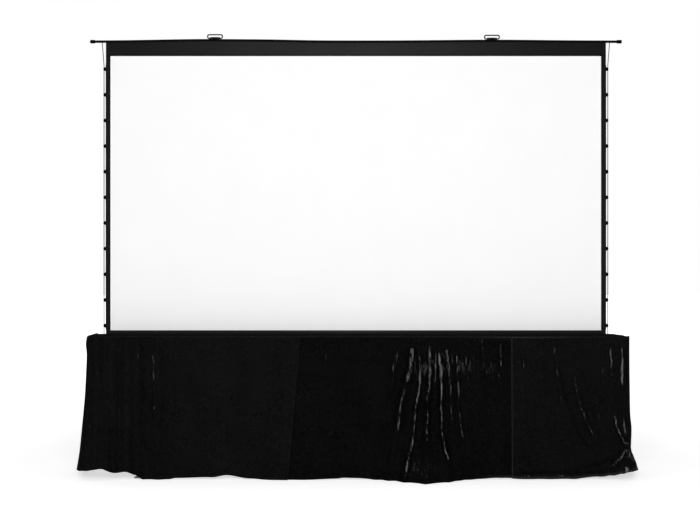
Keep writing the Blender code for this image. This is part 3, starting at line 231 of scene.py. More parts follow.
# Where the hem stands out, as (place, width) in shares of the half length, with the amount as a
# share of the named spread and the power by which it grows down the cloth.
SPREAD_SHARES = (
    (0.255, 0.110, 1.00, 3.0),
    (-1.120, 0.085, 0.52, 2.2),
    (-1.000, 0.045, 0.26, 1.7),
    (1.125, 0.080, 0.46, 7.0),
    (1.000, 0.045, 0.16, 9.0),
    (-0.930, 0.050, 0.25, 2.5),
    (-0.150, 0.170, 0.15, 3.0),
)

# Sharp creases as lines of (share of the half length, share of the height). Then each one's half
# width and height in centimetres, and how much its pile is raised, painted as a highlight. A
# crease of negative height is a trough, with painted shade along it.
CREASES = (
    (((0.159, 0.091), (0.133, 0.259)), 1.1, 0.6, 0.42),
    (((0.210, 0.070), (0.206, 0.200), (0.187, 0.345)), 1.5, 1.0, 0.80),
    (((0.180, 0.365), (0.165, 0.500), (0.153, 0.660)), 1.6, 1.0, 0.62),
    (
        ((0.236, 0.078), (0.238, 0.315), (0.219, 0.531), (0.207, 0.740), (0.190, 0.858), (0.178, 0.963)),
        0.9,
        1.0,
        0.90,
    ),
    (((0.274, 0.071), (0.276, 0.266), (0.266, 0.419), (0.260, 0.775)), 0.9, 0.9, 0.70),
    (((0.308, 0.078), (0.315, 0.266), (0.318, 0.684), (0.329, 0.782), (0.345, 0.865)), 0.9, 1.0, 0.95),
    (((0.342, 0.098), (0.347, 0.266), (0.357, 0.677)), 0.8, 0.6, 0.50),
    (((0.377, 0.140), (0.381, 0.496), (0.397, 0.726)), 0.8, 0.7, 0.55),
    (((0.409, 0.140), (0.413, 0.252)), 0.7, 0.5, 0.55),
    (((0.246, 0.106), (0.247, 0.161)), 0.5, 0.4, 0.50),
    (((0.275, 0.110), (0.276, 0.170)), 1.1, 0.4, 0.70),
    (((0.276, 0.220), (0.273, 0.330)), 1.2, 0.4, 0.75),
    (((0.317, 0.220), (0.317, 0.360)), 1.2, 0.4, 0.75),
    (((0.378, 0.230), (0.379, 0.340)), 0.9, 0.3, 0.42),
    (((0.412, 0.230), (0.413, 0.310)), 0.9, 0.3, 0.40),
    (((0.296, 0.168), (0.292, 0.402)), 0.5, 0.5, 0.55),
    (((0.340, 0.092), (0.341, 0.188)), 1.1, 0.5, 0.80),
    (((0.358, 0.161), (0.359, 0.216)), 0.5, 0.3, 0.45),
    (((0.375, 0.126), (0.376, 0.188)), 0.8, 0.4, 0.75),
    (((0.398, 0.050), (0.399, 0.133)), 0.5, 0.3, 0.45),
    (((0.452, 0.126), (0.453, 0.182)), 0.6, 0.3, 0.60),
    (((0.486, 0.195), (0.487, 0.271)), 0.6, 0.3, 0.40),
    (((0.540, 0.168), (0.537, 0.223)), 0.8, 0.4, 0.60),
    (((0.532, 0.260), (0.532, 0.310)), 0.9, 0.3, 0.35),
    (((0.470, 0.001), (0.472, 0.342)), 0.6, 0.5, 0.40),
    (((0.494, 0.454), (0.494, 0.684)), 0.7, 0.4, 0.25),
    (((0.539, 0.029), (0.539, 0.217)), 0.7, 0.4, 0.30),
    (((-0.812, 0.064), (-0.812, 0.154)), 0.6, 0.4, 0.40),
    (((-0.756, 0.112), (-0.748, 0.552)), 0.6, 0.5, 0.40),
    (((-0.983, 0.600), (-0.990, 0.684)), 0.8, 0.5, 0.35),
    (((-0.901, 0.810), (-0.905, 0.900)), 0.8, 0.5, 0.40),
    (((0.621, 0.078), (0.621, 0.231)), 0.6, 0.5, 0.45),
    (((0.694, 0.001), (0.694, 0.133)), 0.6, 0.4, 0.25),
    (((0.737, 0.043), (0.755, 0.342), (0.770, 0.496)), 0.7, 0.5, 0.35),
    (((0.811, 0.266), (0.822, 0.391), (0.856, 0.600), (0.886, 0.712)), 0.9, 0.7, 0.40),
    (((0.755, 0.175), (0.781, 0.370), (0.815, 0.614), (0.848, 0.747), (0.893, 0.817)), 1.1, -0.7, 0.0),
    (((0.919, 0.112), (0.919, 0.447)), 0.7, 0.5, 0.30),
    (((0.949, 0.085), (0.951, 0.290)), 0.7, 0.6, 0.70),
    (((0.988, 0.071), (0.986, 0.360)), 0.8, 0.7, 0.90),
    (((0.711, 0.342), (0.711, 0.412)), 0.6, 0.3, 0.25),
    (((0.902, 0.545), (0.902, 0.649)), 0.8, 0.4, 0.35),
    (((0.958, 0.540), (0.969, 0.640), (0.984, 0.710), (1.000, 0.758)), 0.7, 0.8, 0.95),
    (((0.990, 0.500), (0.992, 0.600), (0.994, 0.690)), 0.7, 0.6, 0.80),
    (((1.000, 0.780), (0.978, 0.850), (0.946, 0.905)), 0.9, 0.8, 0.90),
    (((1.000, 0.800), (1.004, 0.870), (1.000, 0.940)), 0.7, 0.5, 0.90),
    (((1.000, 0.790), (0.997, 0.865), (0.992, 0.955)), 0.4, 0.5, 0.90),
    (((0.592, 0.959), (0.759, 0.952), (0.852, 0.928), (0.930, 0.872), (0.990, 0.785)), 1.0, -0.7, 0.0),
    (((0.592, 0.968), (0.700, 0.975), (0.800, 0.970)), 0.9, 0.5, 0.42),
    (((0.760, 0.982), (0.871, 0.966), (0.985, 0.928)), 0.9, 0.5, 0.25),
    (((0.178, 0.942), (0.175, 0.991)), 0.9, 0.6, 0.60),
    (((-0.560, 0.985), (-0.485, 0.970)), 0.9, 0.3, 0.50),
    (((-0.105, 0.056), (-0.118, 0.211)), 0.6, 0.4, 0.35),
    (((-0.204, 0.335), (-0.186, 0.413)), 0.6, 0.3, 0.40),
    (((0.002, 0.448), (0.006, 0.490)), 0.6, 0.3, 0.35),
)

# Crushed patches as shares: (where along, how wide, how far down, how tall, how far raised, as painted
# highlight)
CRUSHED = (
    (0.290, 0.080, 0.20, 0.09, 0.33),
    (0.400, 0.055, 0.19, 0.08, 0.21),
    (0.230, 0.080, 0.90, 0.07, 0.18),
    (0.500, 0.050, 0.22, 0.09, 0.14),
)

# The hem's line as (share of the half length, height in millimetres above the floor)
HEM_LINE = (
    (-1.180, 2.0),
    (-1.100, 20.0),
    (-1.034, 58.0),
    (-0.943, 78.0),
    (-0.896, 48.0),
    (-0.863, 52.0),
    (-0.821, 32.0),
    (-0.791, 1.2),
    (-0.696, 1.2),
    (-0.672, 9.6),
    (-0.535, 16.2),
    (-0.485, 29.0),
    (-0.394, 7.0),
    (-0.338, 1.2),
    (-0.208, 1.2),
    (-0.078, 9.0),
    (-0.041, 15.0),
    (0.089, 3.3),
    (0.200, 1.2),
    (0.341, 1.2),
    (0.378, 3.1),
    (0.460, 4.6),
    (0.534, 12.3),
    (0.627, 5.0),
    (0.720, 1.7),
    (0.813, 7.0),
    (0.905, 20.0),
    (0.950, 32.0),
    (0.985, 50.0),
    (1.004, 68.0),
    (1.045, 60.0),
    (1.110, 22.0),
    (1.180, 2.0),
)

CENTI = 0.01
MILLI = 0.001


def spaced(start, end, count):
    return [start + (end - start) * i / (count - 1) for i in range(count)]


def between(start, end, share):
    return start + (end - start) * share


def eased(share):
    share = min(max(share, 0), 1)
    return share * share * (3 - 2 * share)


def bump(place, middle, wide):
    offset = (place - middle) / wide
    return math.exp(-offset * offset) if abs(offset) < 3.5 else 0.0


def bar_centre_z(x):
    return BAR_Z + sum(rise * bump(x, place, wide) for place, rise, wide in BAR_RISES)


def settings():
    return bpy.context.scene.projection_screen


# Materials


def new_finish(name, **sockets):
    """A node material whose even values stand on the shader's own sockets."""
    material = bpy.data.materials.new(name)
    material.use_nodes = True
    shader = material.node_tree.nodes["Principled BSDF"]
    for socket, value in sockets.items():
        shader.inputs[socket.replace("_", " ")].default_value = value
    return material


def placed(name, data):
    """A new object in the scene."""
    thing = bpy.data.objects.new(name, data)
    bpy.context.scene.collection.objects.link(thing)
    return thing


def baked(thing):
    """The plain mesh of an object with its modifiers applied. The object goes."""
    graph = bpy.context.evaluated_depsgraph_get()
    mesh = bpy.data.meshes.new_from_object(thing.evaluated_get(graph))
    bpy.data.objects.remove(thing, do_unlink=True)
    return mesh


def tree_node(tree, kind, links=None, **values):
    """Adds a node. Links give its inputs by name or number, as a socket or a value."""
    made = tree.nodes.new(kind)
    for key, value in values.items():
        setattr(made, key, value)
    for key, value in (links or {}).items():
        if isinstance(value, bpy.types.NodeSocket):
            tree.links.new(value, made.inputs[key])
        else:
            made.inputs[key].default_value = value
    return made


def add_node(material, kind, links=None, **values):
    return tree_node(material.node_tree, kind, links, **values)


def feed(material, socket, output):
    shader = material.node_tree.nodes["Principled BSDF"]
    material.node_tree.links.new(output, shader.inputs[socket])


def stretched_place(material, scale=(1, 1, 1), source="Object"):
    """Coordinates on the piece, or along its own surface where the source is UV, stretched."""
    place = add_node(material, "ShaderNodeTexCoord").outputs[source]
    links = {"Vector": place, "Scale": scale}
    return add_node(material, "ShaderNodeMapping", links).outputs["Vector"]


def grain(material, place, scale, detail=3.0, roughness=0.55):
    links = {"Vector": place, "Scale": scale, "Detail": detail, "Roughness": roughness}
    return add_node(material, "ShaderNodeTexNoise", links).outputs["Fac"]


def spread_values(material, value, low, high, start=0.3, end=0.7):
    """A number from low to high as the value goes from start to end."""
    links = {"Value": value, "From Min": start, "From Max": end, "To Min": low, "To Max": high}
    return add_node(material, "ShaderNodeMapRange", links).outputs["Result"]


def spread_colours(material, value, low, high, start=0.3, end=0.7):
    """A colour from low to high as the value goes from start to end."""
    ramp = add_node(material, "ShaderNodeValToRGB", {"Fac": value})
    ramp.color_ramp.elements[0].position = start
    ramp.color_ramp.elements[0].color = (*low, 1)
    ramp.color_ramp.elements[1].position = end
    ramp.color_ramp.elements[1].color = (*high, 1)
    return ramp.outputs["Color"]


def raise_surface(material, height, distance, strength=1.0):
    links = {"Height": height, "Distance": distance, "Strength": strength}
    feed(material, "Normal", add_node(material, "ShaderNodeBump", links).outputs["Normal"])


def combine(material, operation, first, second):
    links = {0: first, 1: second}
    return add_node(material, "ShaderNodeMath", links, operation=operation).outputs["Value"]


def weave(material, place, pitch):
    """Threads over and under each other, as a height from 0 to 1."""
    waves = []
    for direction in ("X", "Z"):
        links = {"Vector": place, "Scale": math.tau / (20 * pitch), "Distortion": 0.6, "Detail Scale": 4.0}
        wave = add_node(material, "ShaderNodeTexWave", links, bands_direction=direction)
        waves.append(wave.outputs["Fac"])
    return combine(material, "MULTIPLY", *waves)


def white_cloth_finish():
    material = new_finish("matt_white_projection_cloth", Roughness=0.9, Specular_IOR_Level=0.2)
    place = stretched_place(material)
    white = tuple(settings().white)
    dim = tuple(0.985 * value for value in white)
    feed(material, "Base Color", spread_colours(material, grain(material, place, 3.0), dim, white))
    raise_surface(material, weave(material, place, 0.0012), 0.00004, 0.5)
    return material


def black_cloth_finish(name="black_tension_cloth", share=1.0):
    """The borders' cloth, or a tape that is paler than it by a share. The paler tape paints the light
    on the strip above the deck.
    """
    material = new_finish(name, Specular_IOR_Level=settings().cloth_gloss)
    place = stretched_place(material)
    patch = grain(material, place, 2.5)
    black = tuple(share * value for value in settings().black)
    pale = tuple(1.35 * value for value in black)
    feed(material, "Base Color", spread_colours(material, patch, black, pale))
    feed(material, "Roughness", spread_values(material, patch, 0.37, 0.41))
    raise_surface(material, weave(material, place, 0.0014), 0.00003, 0.2)
    return material


def velvet_finish():
    """Crushed pile velvet with painted light. The piece's own attributes say where: a painted highlight
    where the pile is raised in the creases, painted light and shade by how far the pile leans to the
    light, and a painted highlight where a turned edge shows it end on."""
    material = new_finish(
        "black_velvet_pile",
        Specular_IOR_Level=0.008,
        Sheen_Weight=0.006,
        Sheen_Roughness=0.35,
        Sheen_Tint=(0.75, 0.76, 0.80, 1),
    )
    brushed_highlight, pile_light, edge = (
        add_node(material, "ShaderNodeAttribute", attribute_name=name).outputs["Fac"]
        for name in ("pile_highlight", "painted_pile_light", "edge_highlight")
    )
    crush = grain(material, stretched_place(material, (0.75, 1, 0.15)), 95.0, 4.0, 0.65)
    pile = grain(material, stretched_place(material, (1, 1, 0.8)), 230.0, 2.0, 0.6)
    patch = grain(material, stretched_place(material), 5.0, 3.0)
    coarse = spread_values(material, crush, -0.74, 0.0, 0.38, 0.60)
    fine = spread_values(material, pile, -0.16, 0.0, 0.30, 0.70)
    broken = combine(material, "ADD", coarse, fine)
    lit = spread_values(material, combine(material, "ADD", brushed_highlight, broken), 0.0, 1.0, 0.0, 0.75)
    # Painted highlight along the turned edges, broken up by the crushed pile.
    wear_and_edge_highlight = combine(material, "MULTIPLY", edge, spread_values(material, crush, 0.55, 1.0, 0.4, 0.6))
    lit = combine(material, "MAXIMUM", lit, wear_and_edge_highlight)
    broad = spread_values(material, patch, -0.10, 0.10, 0.3, 0.7)
    speckle = spread_values(material, pile, -0.95, 0.95, 0.34, 0.66)
    # Painted light on the leaning pile, with random patches and speckle.
    ground = combine(material, "ADD", pile_light, combine(material, "ADD", broad, speckle))
    deep, soft = tuple(settings().velvet), tuple(settings().velvet_painted_light)
    base = spread_colours(material, ground, deep, soft, 0.0, 1.0)
    # The raised pile and the turned edges are painted in the highlight colour.
    links = {0: lit, 6: base, 7: (*settings().velvet_highlight, 1)}
    mixed = add_node(material, "ShaderNodeMix", links, data_type="RGBA")
    feed(material, "Base Color", mixed.outputs[2])
    feed(material, "Roughness", spread_values(material, lit, 0.62, 0.42, 0.0, 1.0))
    height = combine(material, "ADD", crush, combine(material, "MULTIPLY", pile, 0.25))
    raise_surface(material, height, 0.0012, 0.5)
    return material


def mottled_finish(name, patch, colours, gloss, peel, **sockets):
    """Patches of colour and gloss over a fine grain. The patch and the peel are the values of their
    noise, and the peel ends with its height and strength."""
    material = new_finish(name, **sockets)
    place = stretched_place(material)
    cloud = grain(material, place, *patch)
    feed(material, "Base Color", spread_colours(material, cloud, *colours))
    feed(material, "Roughness", spread_values(material, cloud, *gloss))
    *fine, height, strength = peel
    raise_surface(material, grain(material, place, *fine), height, strength)
    return material


def painted_finish(name, colour, low, high, bumps, specular):
    """Sprayed or moulded black: fine orange peel, larger patches of gloss."""
    pale = tuple(1.5 * value for value in colour)
    peel = (bumps, 2.0, 0.0001, 0.35)
    gloss = (low, high)
    return mottled_finish(name, (12.0, 4.0), (colour, pale), gloss, peel, Specular_IOR_Level=specular)


def brushed_finish(name, high, source, scale):
    """Drawn or rolled aluminium with fine lines along its length."""
    material = new_finish(name, Metallic=1.0)
    lines = grain(material, stretched_place(material, scale, source), 1.0, 4.0, 0.6)
    cloud = grain(material, stretched_place(material), 9.0, 3.0)
    colour = (0.66, 0.67, 0.68)
    dull = tuple(0.82 * value for value in colour)
    feed(material, "Base Color", spread_colours(material, lines, dull, colour))
    links = {0: lines, 1: 0.5, 2: cloud}
    wear_and_edge_highlight = add_node(material, "ShaderNodeMath", links, operation="MULTIPLY_ADD").outputs["Value"]
    feed(material, "Roughness", spread_values(material, wear_and_edge_highlight, 0.30, high, 0.5, 1.0))
    raise_surface(material, lines, 0.00003, 0.4)
    return material


def zinc_finish():
    """Bright zinc plate with its faint cloudy grain."""
    colours = ((0.46, 0.47, 0.50), (0.64, 0.64, 0.63))
    peel = (300.0, 0.00003, 0.3)
    return mottled_finish("zinc_plated_steel", (45.0, 5.0, 0.65), colours, (0.30, 0.45), peel, Metallic=1.0)


def dark_metal_finish(name, colour, roughness):
    colours = (colour, tuple(1.6 * value for value in colour))
    gloss = (roughness, roughness + 0.15)
    return mottled_finish(name, (60.0, 4.0), colours, gloss, (700.0, 0.00003, 0.3), Metallic=1.0)


def rubber_finish():
    scuff = (90.0, 5.0, 0.7)
    colours = ((0.075, 0.075, 0.078), (0.13, 0.13, 0.13))
    peel = (*scuff, 0.0002, 0.4)
    return mottled_finish("grey_tread_rubber", scuff, colours, (0.65, 0.85), peel, Specular_IOR_Level=0.3)


def braid_finish():
    """Braided cord: crossing strands along its length."""
    material = new_finish("grey_braided_cord", Specular_IOR_Level=0.03, Roughness=0.8)
    place = stretched_place(material)
    strands = []
    for way in (1, -1):
        links = {"Vector": place, "Rotation": (0, way * 0.9, 0)}
        turn = add_node(material, "ShaderNodeMapping", links).outputs["Vector"]
        links = {"Vector": turn, "Scale": 120.0, "Distortion": 0.3}
        strands.append(add_node(material, "ShaderNodeTexWave", links, bands_direction="Z").outputs["Fac"])
    braid = combine(material, "MULTIPLY", *strands)
    low, high = (0.018, 0.018, 0.018), (0.050, 0.050, 0.049)
    feed(material, "Base Color", spread_colours(material, braid, low, high, 0.1, 0.6))
    raise_surface(material, braid, 0.0003, 0.6)
    return material


def thread_finish():
    material = new_finish("black_sewing_thread", Roughness=0.6, Specular_IOR_Level=0.25)
    twist = grain(material, stretched_place(material), 900.0, 2.0)
    low, high = (0.010, 0.010, 0.011), (0.028, 0.028, 0.030)
    feed(material, "Base Color", spread_colours(material, twist, low, high))
    return material


# Paints and mouldings: name, colour, lowest and highest roughness, bumps per metre, specular level
PAINTS = {
    "bar_paint": ("satin_black_bar_paint", (0.0040, 0.0040, 0.0040), 0.45, 0.58, 700.0, 0.0),
    "anodised": ("black_anodised_aluminium", (0.0060, 0.0060, 0.0064), 0.50, 0.62, 900.0, 0.12),
    # The case tops' black is a matt finish, and paler than the sides to paint the light on the tops.
    "blasted_painted_light": ("blasted_painted_light_aluminium", (0.0066, 0.0066, 0.0068), 0.85, 0.95, 900.0, 0.0),
    "plastic": ("moulded_black_plastic", (0.0018, 0.0018, 0.0018), 0.50, 0.65, 500.0, 0.02),
    "box_plastic": ("grained_box_plastic", (0.0120, 0.0120, 0.0124), 0.42, 0.55, 420.0, 0.35),
    "key_plastic": ("smooth_key_plastic", (0.0200, 0.0200, 0.0206), 0.28, 0.38, 700.0, 0.45),
    "frame_paint": ("powder_coated_steel", (0.0075, 0.0075, 0.0078), 0.50, 0.62, 350.0, 0.15),
    "wire": ("dark_coated_wire", (0.006, 0.006, 0.006), 0.55, 0.65, 900.0, 0.0),
}
# The other finishes: what makes each, and with what values
FINISH_MAKERS = {
    "white_cloth": (white_cloth_finish,),
    "black_cloth": (black_cloth_finish,),
    # The hem tape is paler than the cloth: painted light on the strip above the deck.
    "hem_tape_painted_light": (black_cloth_finish, "black_hem_tape_painted_light", 3.6),
    "velvet": (velvet_finish,),
    "screw": (dark_metal_finish, "black_oxide_screw", (0.06, 0.06, 0.062), 0.40),
    "aluminium": (brushed_finish, "drawn_aluminium", 0.48, "UV", (14, 1600, 1)),
    "tube_aluminium": (brushed_finish, "extruded_aluminium_tube", 0.45, "Object", (6, 1400, 1400)),
    "zinc": (zinc_finish,),
    "rubber": (rubber_finish,),
    "cord": (braid_finish,),
    "thread": (thread_finish,),
    "brass": (dark_metal_finish, "brass_contact", (0.55, 0.40, 0.16), 0.25),
}
FINISHES = {}


def finish(name):
    if name not in FINISHES:
        maker, *values = (painted_finish, *PAINTS[name]) if name in PAINTS else FINISH_MAKERS[name]
        FINISHES[name] = maker(*values)
    return FINISHES[name]


# Meshes


def wrapped(shape):
    """Gives each face a UV map in metres, seen from the side it faces most."""
    wrap = shape.loops.layers.uv.verify()
    shape.normal_update()
    for face in shape.faces:
        facing = max(range(3), key=lambda i: abs(face.normal[i]))
        first, second = ((1, 2), (0, 2), (0, 1))[facing]
        for loop in face.loops:
            loop[wrap].uv = (loop.vert.co[first], loop.vert.co[second])
    return shape


def mesh_from(shape, matrix=None):
    if matrix is not None:
        shape.transform(matrix)
    mesh = bpy.data.meshes.new("shape")
    shape.to_mesh(mesh)
    shape.free()
    return mesh


def turned(profile, matrix, sides=48):
    """A profile of (radius, height), turned about the local Z axis. It closes if it ends where it
    began."""
    ring = profile[0] == profile[-1]
    points = profile[:-1] if ring else profile
    shape = bmesh.new()
    rows = []
    for radius, height in points:
        angles = [math.tau * i / sides for i in range(sides if radius > 0 else 1)]
        places = [(radius * math.cos(a), radius * math.sin(a), height) for a in angles]
        rows.append([shape.verts.new(place) for place in places])
    pairs = list(zip(rows, rows[1:])) + ([(rows[-1], rows[0])] if ring else [])
    for upper, lower in pairs:
        for i in range(sides):
            j = (i + 1) % sides
            corners = [row[k % len(row)] for row, k in ((upper, i), (lower, i), (lower, j), (upper, j))]
            corners = list(dict.fromkeys(corners))
            if len(corners) > 2:
                shape.faces.new(corners)
    bmesh.ops.recalc_face_normals(shape, faces=shape.faces)
    return mesh_from(wrapped(shape), matrix)


def filleted(profile, radius, steps=3):
    """The profile with its inner corners rounded, by up to a third of each side beside them."""
    points = [Vector(p) for p in profile]
    ring = profile[0] == profile[-1]
    if ring:
        points = points[:-1]
    made = []
    for i, corner in enumerate(points):
        before, after = points[i - 1], points[(i + 1) % len(points)]
        if not ring and i in (0, len(points) - 1):
            made.append(tuple(corner))
            continue
        back, ahead = before - corner, after - corner
        reach = min(radius, back.length / 3, ahead.length / 3)
        start, end = corner + back.normalized() * reach, corner + ahead.normalized() * reach
        for step in range(steps + 1):
            t = step / steps
            made.append(tuple((1 - t) ** 2 * start + 2 * t * (1 - t) * corner + t * t * end))
    if ring:
        made.append(made[0])
    return made


def curve_mesh(curve, matrix=None):
    """Turns a curve into a plain mesh with its caps welded, then removes the curve."""
    mesh = baked(placed("line", curve))
    bpy.data.curves.remove(curve)
    shape = bmesh.new()
    shape.from_mesh(mesh)
    bpy.data.meshes.remove(mesh)
    bmesh.ops.remove_doubles(shape, verts=shape.verts, dist=0.000002)
    bmesh.ops.recalc_face_normals(shape, faces=shape.faces)
    return mesh_from(wrapped(shape), matrix)


def new_curve(name, outlines, closed, **values):
    """A curve of straight lines through (x, y, z) points."""
    curve = bpy.data.curves.new(name, "CURVE")
    for key, value in values.items():
        setattr(curve, key, value)
    for points in outlines:
        spline = curve.splines.new("POLY")
        spline.points.add(len(points) - 1)
        for target, place in zip(spline.points, points):
            target.co = (*place, 1)
        spline.use_cyclic_u = closed
    return curve


def plate(outlines, thick, matrix, edge=0.0006):
    """A flat shape in the local XY plane. The first outline is its rim, the others its holes."""
    outlines = [[(across, up, 0) for across, up in points] for points in outlines]
    curve = new_curve("plate", outlines, True, dimensions="2D", fill_mode="BOTH", bevel_resolution=1)
    curve.extrude = thick / 2 - edge
    curve.bevel_depth = edge
    curve.offset = -edge
    return curve_mesh(curve, matrix)


def tube(points, radius, closed=False, resolution=4):
    curve = new_curve("tube", [points], closed, dimensions="3D", bevel_resolution=resolution)
    curve.bevel_depth = radius
    curve.use_fill_caps = not closed
    return curve_mesh(curve)


def bevelled(shape, edges, width, steps, **values):
    """The shape's mesh with some edges rounded."""
    bmesh.ops.bevel(
        shape, geom=edges, offset=width, segments=steps, profile=0.5, affect="EDGES", **values
    )
    return mesh_from(wrapped(shape))


def block(low, high, edge=0.001, steps=2):
    """A box between two corners, with rounded edges."""
    low, high = Vector(low), Vector(high)
    shape = bmesh.new()
    matrix = Matrix.Translation((low + high) / 2) @ Matrix.Diagonal((*(high - low), 1))
    bmesh.ops.create_cube(shape, size=1, matrix=matrix)
    return bevelled(shape, shape.edges, edge, steps)


def softened(node, width, steps=2):
    """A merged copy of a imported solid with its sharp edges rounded."""
    shape = bmesh.new()
    shape.from_mesh(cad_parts[node].data)
    bmesh.ops.remove_doubles(shape, verts=shape.verts, dist=0.00001)
    bmesh.ops.dissolve_limit(shape, angle_limit=0.01, verts=shape.verts, edges=shape.edges)
    sharp = [edge for edge in shape.edges if edge.is_manifold and edge.calc_face_angle(0) > 0.6]
    return bevelled(shape, sharp, width, steps, clamp_overlap=True)


class Piece:
    """One mesh made up of parts, each in a finish of its own."""

    def __init__(self, name):
        self.name = name
        self.shape = bmesh.new()
        self.shape.loops.layers.uv.new("UVMap")
        self.finishes = []

    def add(self, mesh, coat):
        if coat not in self.finishes:
            self.finishes.append(coat)
        start = len(self.shape.faces)
        self.shape.from_mesh(mesh)
        bpy.data.meshes.remove(mesh)
        self.shape.faces.ensure_lookup_table()
        for face in self.shape.faces[start:]:
            face.material_index = self.finishes.index(coat)
        return self

    def coat_tops(self, coat):
        """Gives the faces that look straight up a finish of their own. On the case it is a paler matt black
        that paints the light on the tops.
        """
        self.finishes.append(coat)
        self.shape.normal_update()
        for face in self.shape.faces:
            if face.normal.z > 0.99:
                face.material_index = len(self.finishes) - 1
        return self

    def done(self, body, slot, *nodes, smooth=35):
        mesh = bpy.data.meshes.new(self.name)
        self.shape.to_mesh(mesh)
        self.shape.free()
        for coat in self.finishes:
            mesh.materials.append(finish(coat))
        return settle(self.name, mesh, body, slot, *nodes, smooth=smooth)


def settle(name, mesh, body, slot, *nodes, smooth=35):
    """Makes the object of a finished mesh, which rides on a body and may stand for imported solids."""
    mesh.shade_smooth()
    mesh.set_sharp_from_angle(angle=math.radians(smooth))
    thing = placed(name, mesh)
    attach(thing, body)
    if nodes:
        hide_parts(*nodes)
    return thing


def facing_front(place):
    """Local X to +X, local Y to +Z and the thickness along Y."""
    return Matrix.Translation(place) @ Matrix.Rotation(math.pi / 2, 4, "X")


def towards(place, direction):
    """Local Z along the direction."""
    turn = Vector(direction).to_track_quat("Z", "Y").to_matrix().to_4x4()
    return Matrix.Translation(place) @ turn


def arc(centre, radius, start, end, steps):
    angles = spaced(start, end, steps + 1)
    return [(centre[0] + radius * math.cos(a), centre[1] + radius * math.sin(a)) for a in angles]


def hole(centre, radius, steps=28):
    """A circle wound the other way round from a rim."""
    return arc(centre, radius, 0, -math.tau * (steps - 1) / steps, steps - 1)


# Geometry Nodes


def dressed(name, node, edge, coat, body, slot, steps=1, smooth=35):
    """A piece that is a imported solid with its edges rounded."""
    piece = Piece(name).add(softened(node, edge, steps), coat)
    return piece.done(body, slot, node, smooth=smooth)


def copying_tree(name, inputs, copies):
    """A Geometry Nodes tree that sets copies on points. Its inputs are (name, kind, default), and
    the function for its copies gives the links of the node that sets them. Every tree ends in real
    geometry with its material set."""
    tree = bpy.data.node_groups.new(name, "GeometryNodeTree")
    for way in ("INPUT", "OUTPUT"):
        tree.interface.new_socket("Geometry", in_out=way, socket_type="NodeSocketGeometry")
    for label, kind, default in (*inputs, ("Material", "Material", None)):
        socket = tree.interface.new_socket(label, in_out="INPUT", socket_type=f"NodeSocket{kind}")
        if default is not None:
            socket.default_value = default
    given = tree_node(tree, "NodeGroupInput").outputs
    instances = tree_node(tree, "GeometryNodeInstanceOnPoints", copies(tree, given))
    links = {"Geometry": instances.outputs["Instances"]}
    real = tree_node(tree, "GeometryNodeRealizeInstances", links)
    links = {"Geometry": real.outputs["Geometry"], "Material": given["Material"]}
    painted = tree_node(tree, "GeometryNodeSetMaterial", links)
    tree_node(tree, "NodeGroupOutput", {"Geometry": painted.outputs["Geometry"]})
    return tree


def turned_to(tree, direction, axis):
    """The rotation that turns an axis to a direction."""
    made = tree_node(tree, "FunctionNodeAlignRotationToVector", {"Vector": direction}, axis=axis)
    return made.outputs["Rotation"]


def one_copy(tree, source):
    """An object's geometry as one instance."""
    links = {"Object": source, "As Instance": True}
    return tree_node(tree, "GeometryNodeObjectInfo", links).outputs["Geometry"]


def head_copies(tree, given):
    """A fastener at every point, standing along the point's facing attribute."""
    kind = "GeometryNodeInputNamedAttribute"
    facing = tree_node(tree, kind, {"Name": "facing"}, data_type="FLOAT_VECTOR").outputs["Attribute"]
    return {
        "Points": given["Geometry"],
        "Instance": one_copy(tree, given["Fastener"]),
        "Rotation": turned_to(tree, facing, "Z"),
        "Scale": given["Size"],
    }


def stitch_copies(tree, given):
    """A row of thread stitches along every edge line."""
    line = tree_node(tree, "GeometryNodeMeshToCurve", {"Mesh": given["Geometry"]})
    links = {"Curve": line.outputs["Curve"], "Length": given["Pitch"]}
    steps = tree_node(tree, "GeometryNodeResampleCurve", links, mode="LENGTH")
    bead = tree_node(tree, "GeometryNodeMeshUVSphere", {"Segments": 6, "Rings": 4, "Radius": 0.5})
    links = {"X": given["Thread"], "Y": given["Thread"], "Z": given["Stitch"]}
    size = tree_node(tree, "ShaderNodeCombineXYZ", links)
    along = tree_node(tree, "GeometryNodeInputTangent").outputs["Tangent"]
    return {
        "Points": steps.outputs["Curve"],
        "Instance": bead.outputs["Mesh"],
        "Rotation": turned_to(tree, along, "Z"),
        "Scale": size.outputs["Vector"],
    }


def column_copies(tree, given):
    """Equal pieces one above the other."""
    links = {"Count": given["Count"], "Offset": given["Pitch"]}
    line = tree_node(tree, "GeometryNodeMeshLine", links)
    return {"Points": line.outputs["Mesh"], "Instance": one_copy(tree, given["Piece"])}


def ring_copies(tree, given):
    """Equal ribs round the local Z axis."""
    links = {"Vertices": given["Count"], "Radius": given["Radius"]}
    circle = tree_node(tree, "GeometryNodeMeshCircle", links)
    out = tree_node(tree, "GeometryNodeInputPosition").outputs["Position"]
    return {
        "Points": circle.outputs["Mesh"],
        "Instance": one_copy(tree, given["Piece"]),
        "Rotation": turned_to(tree, out, "X"),
    }


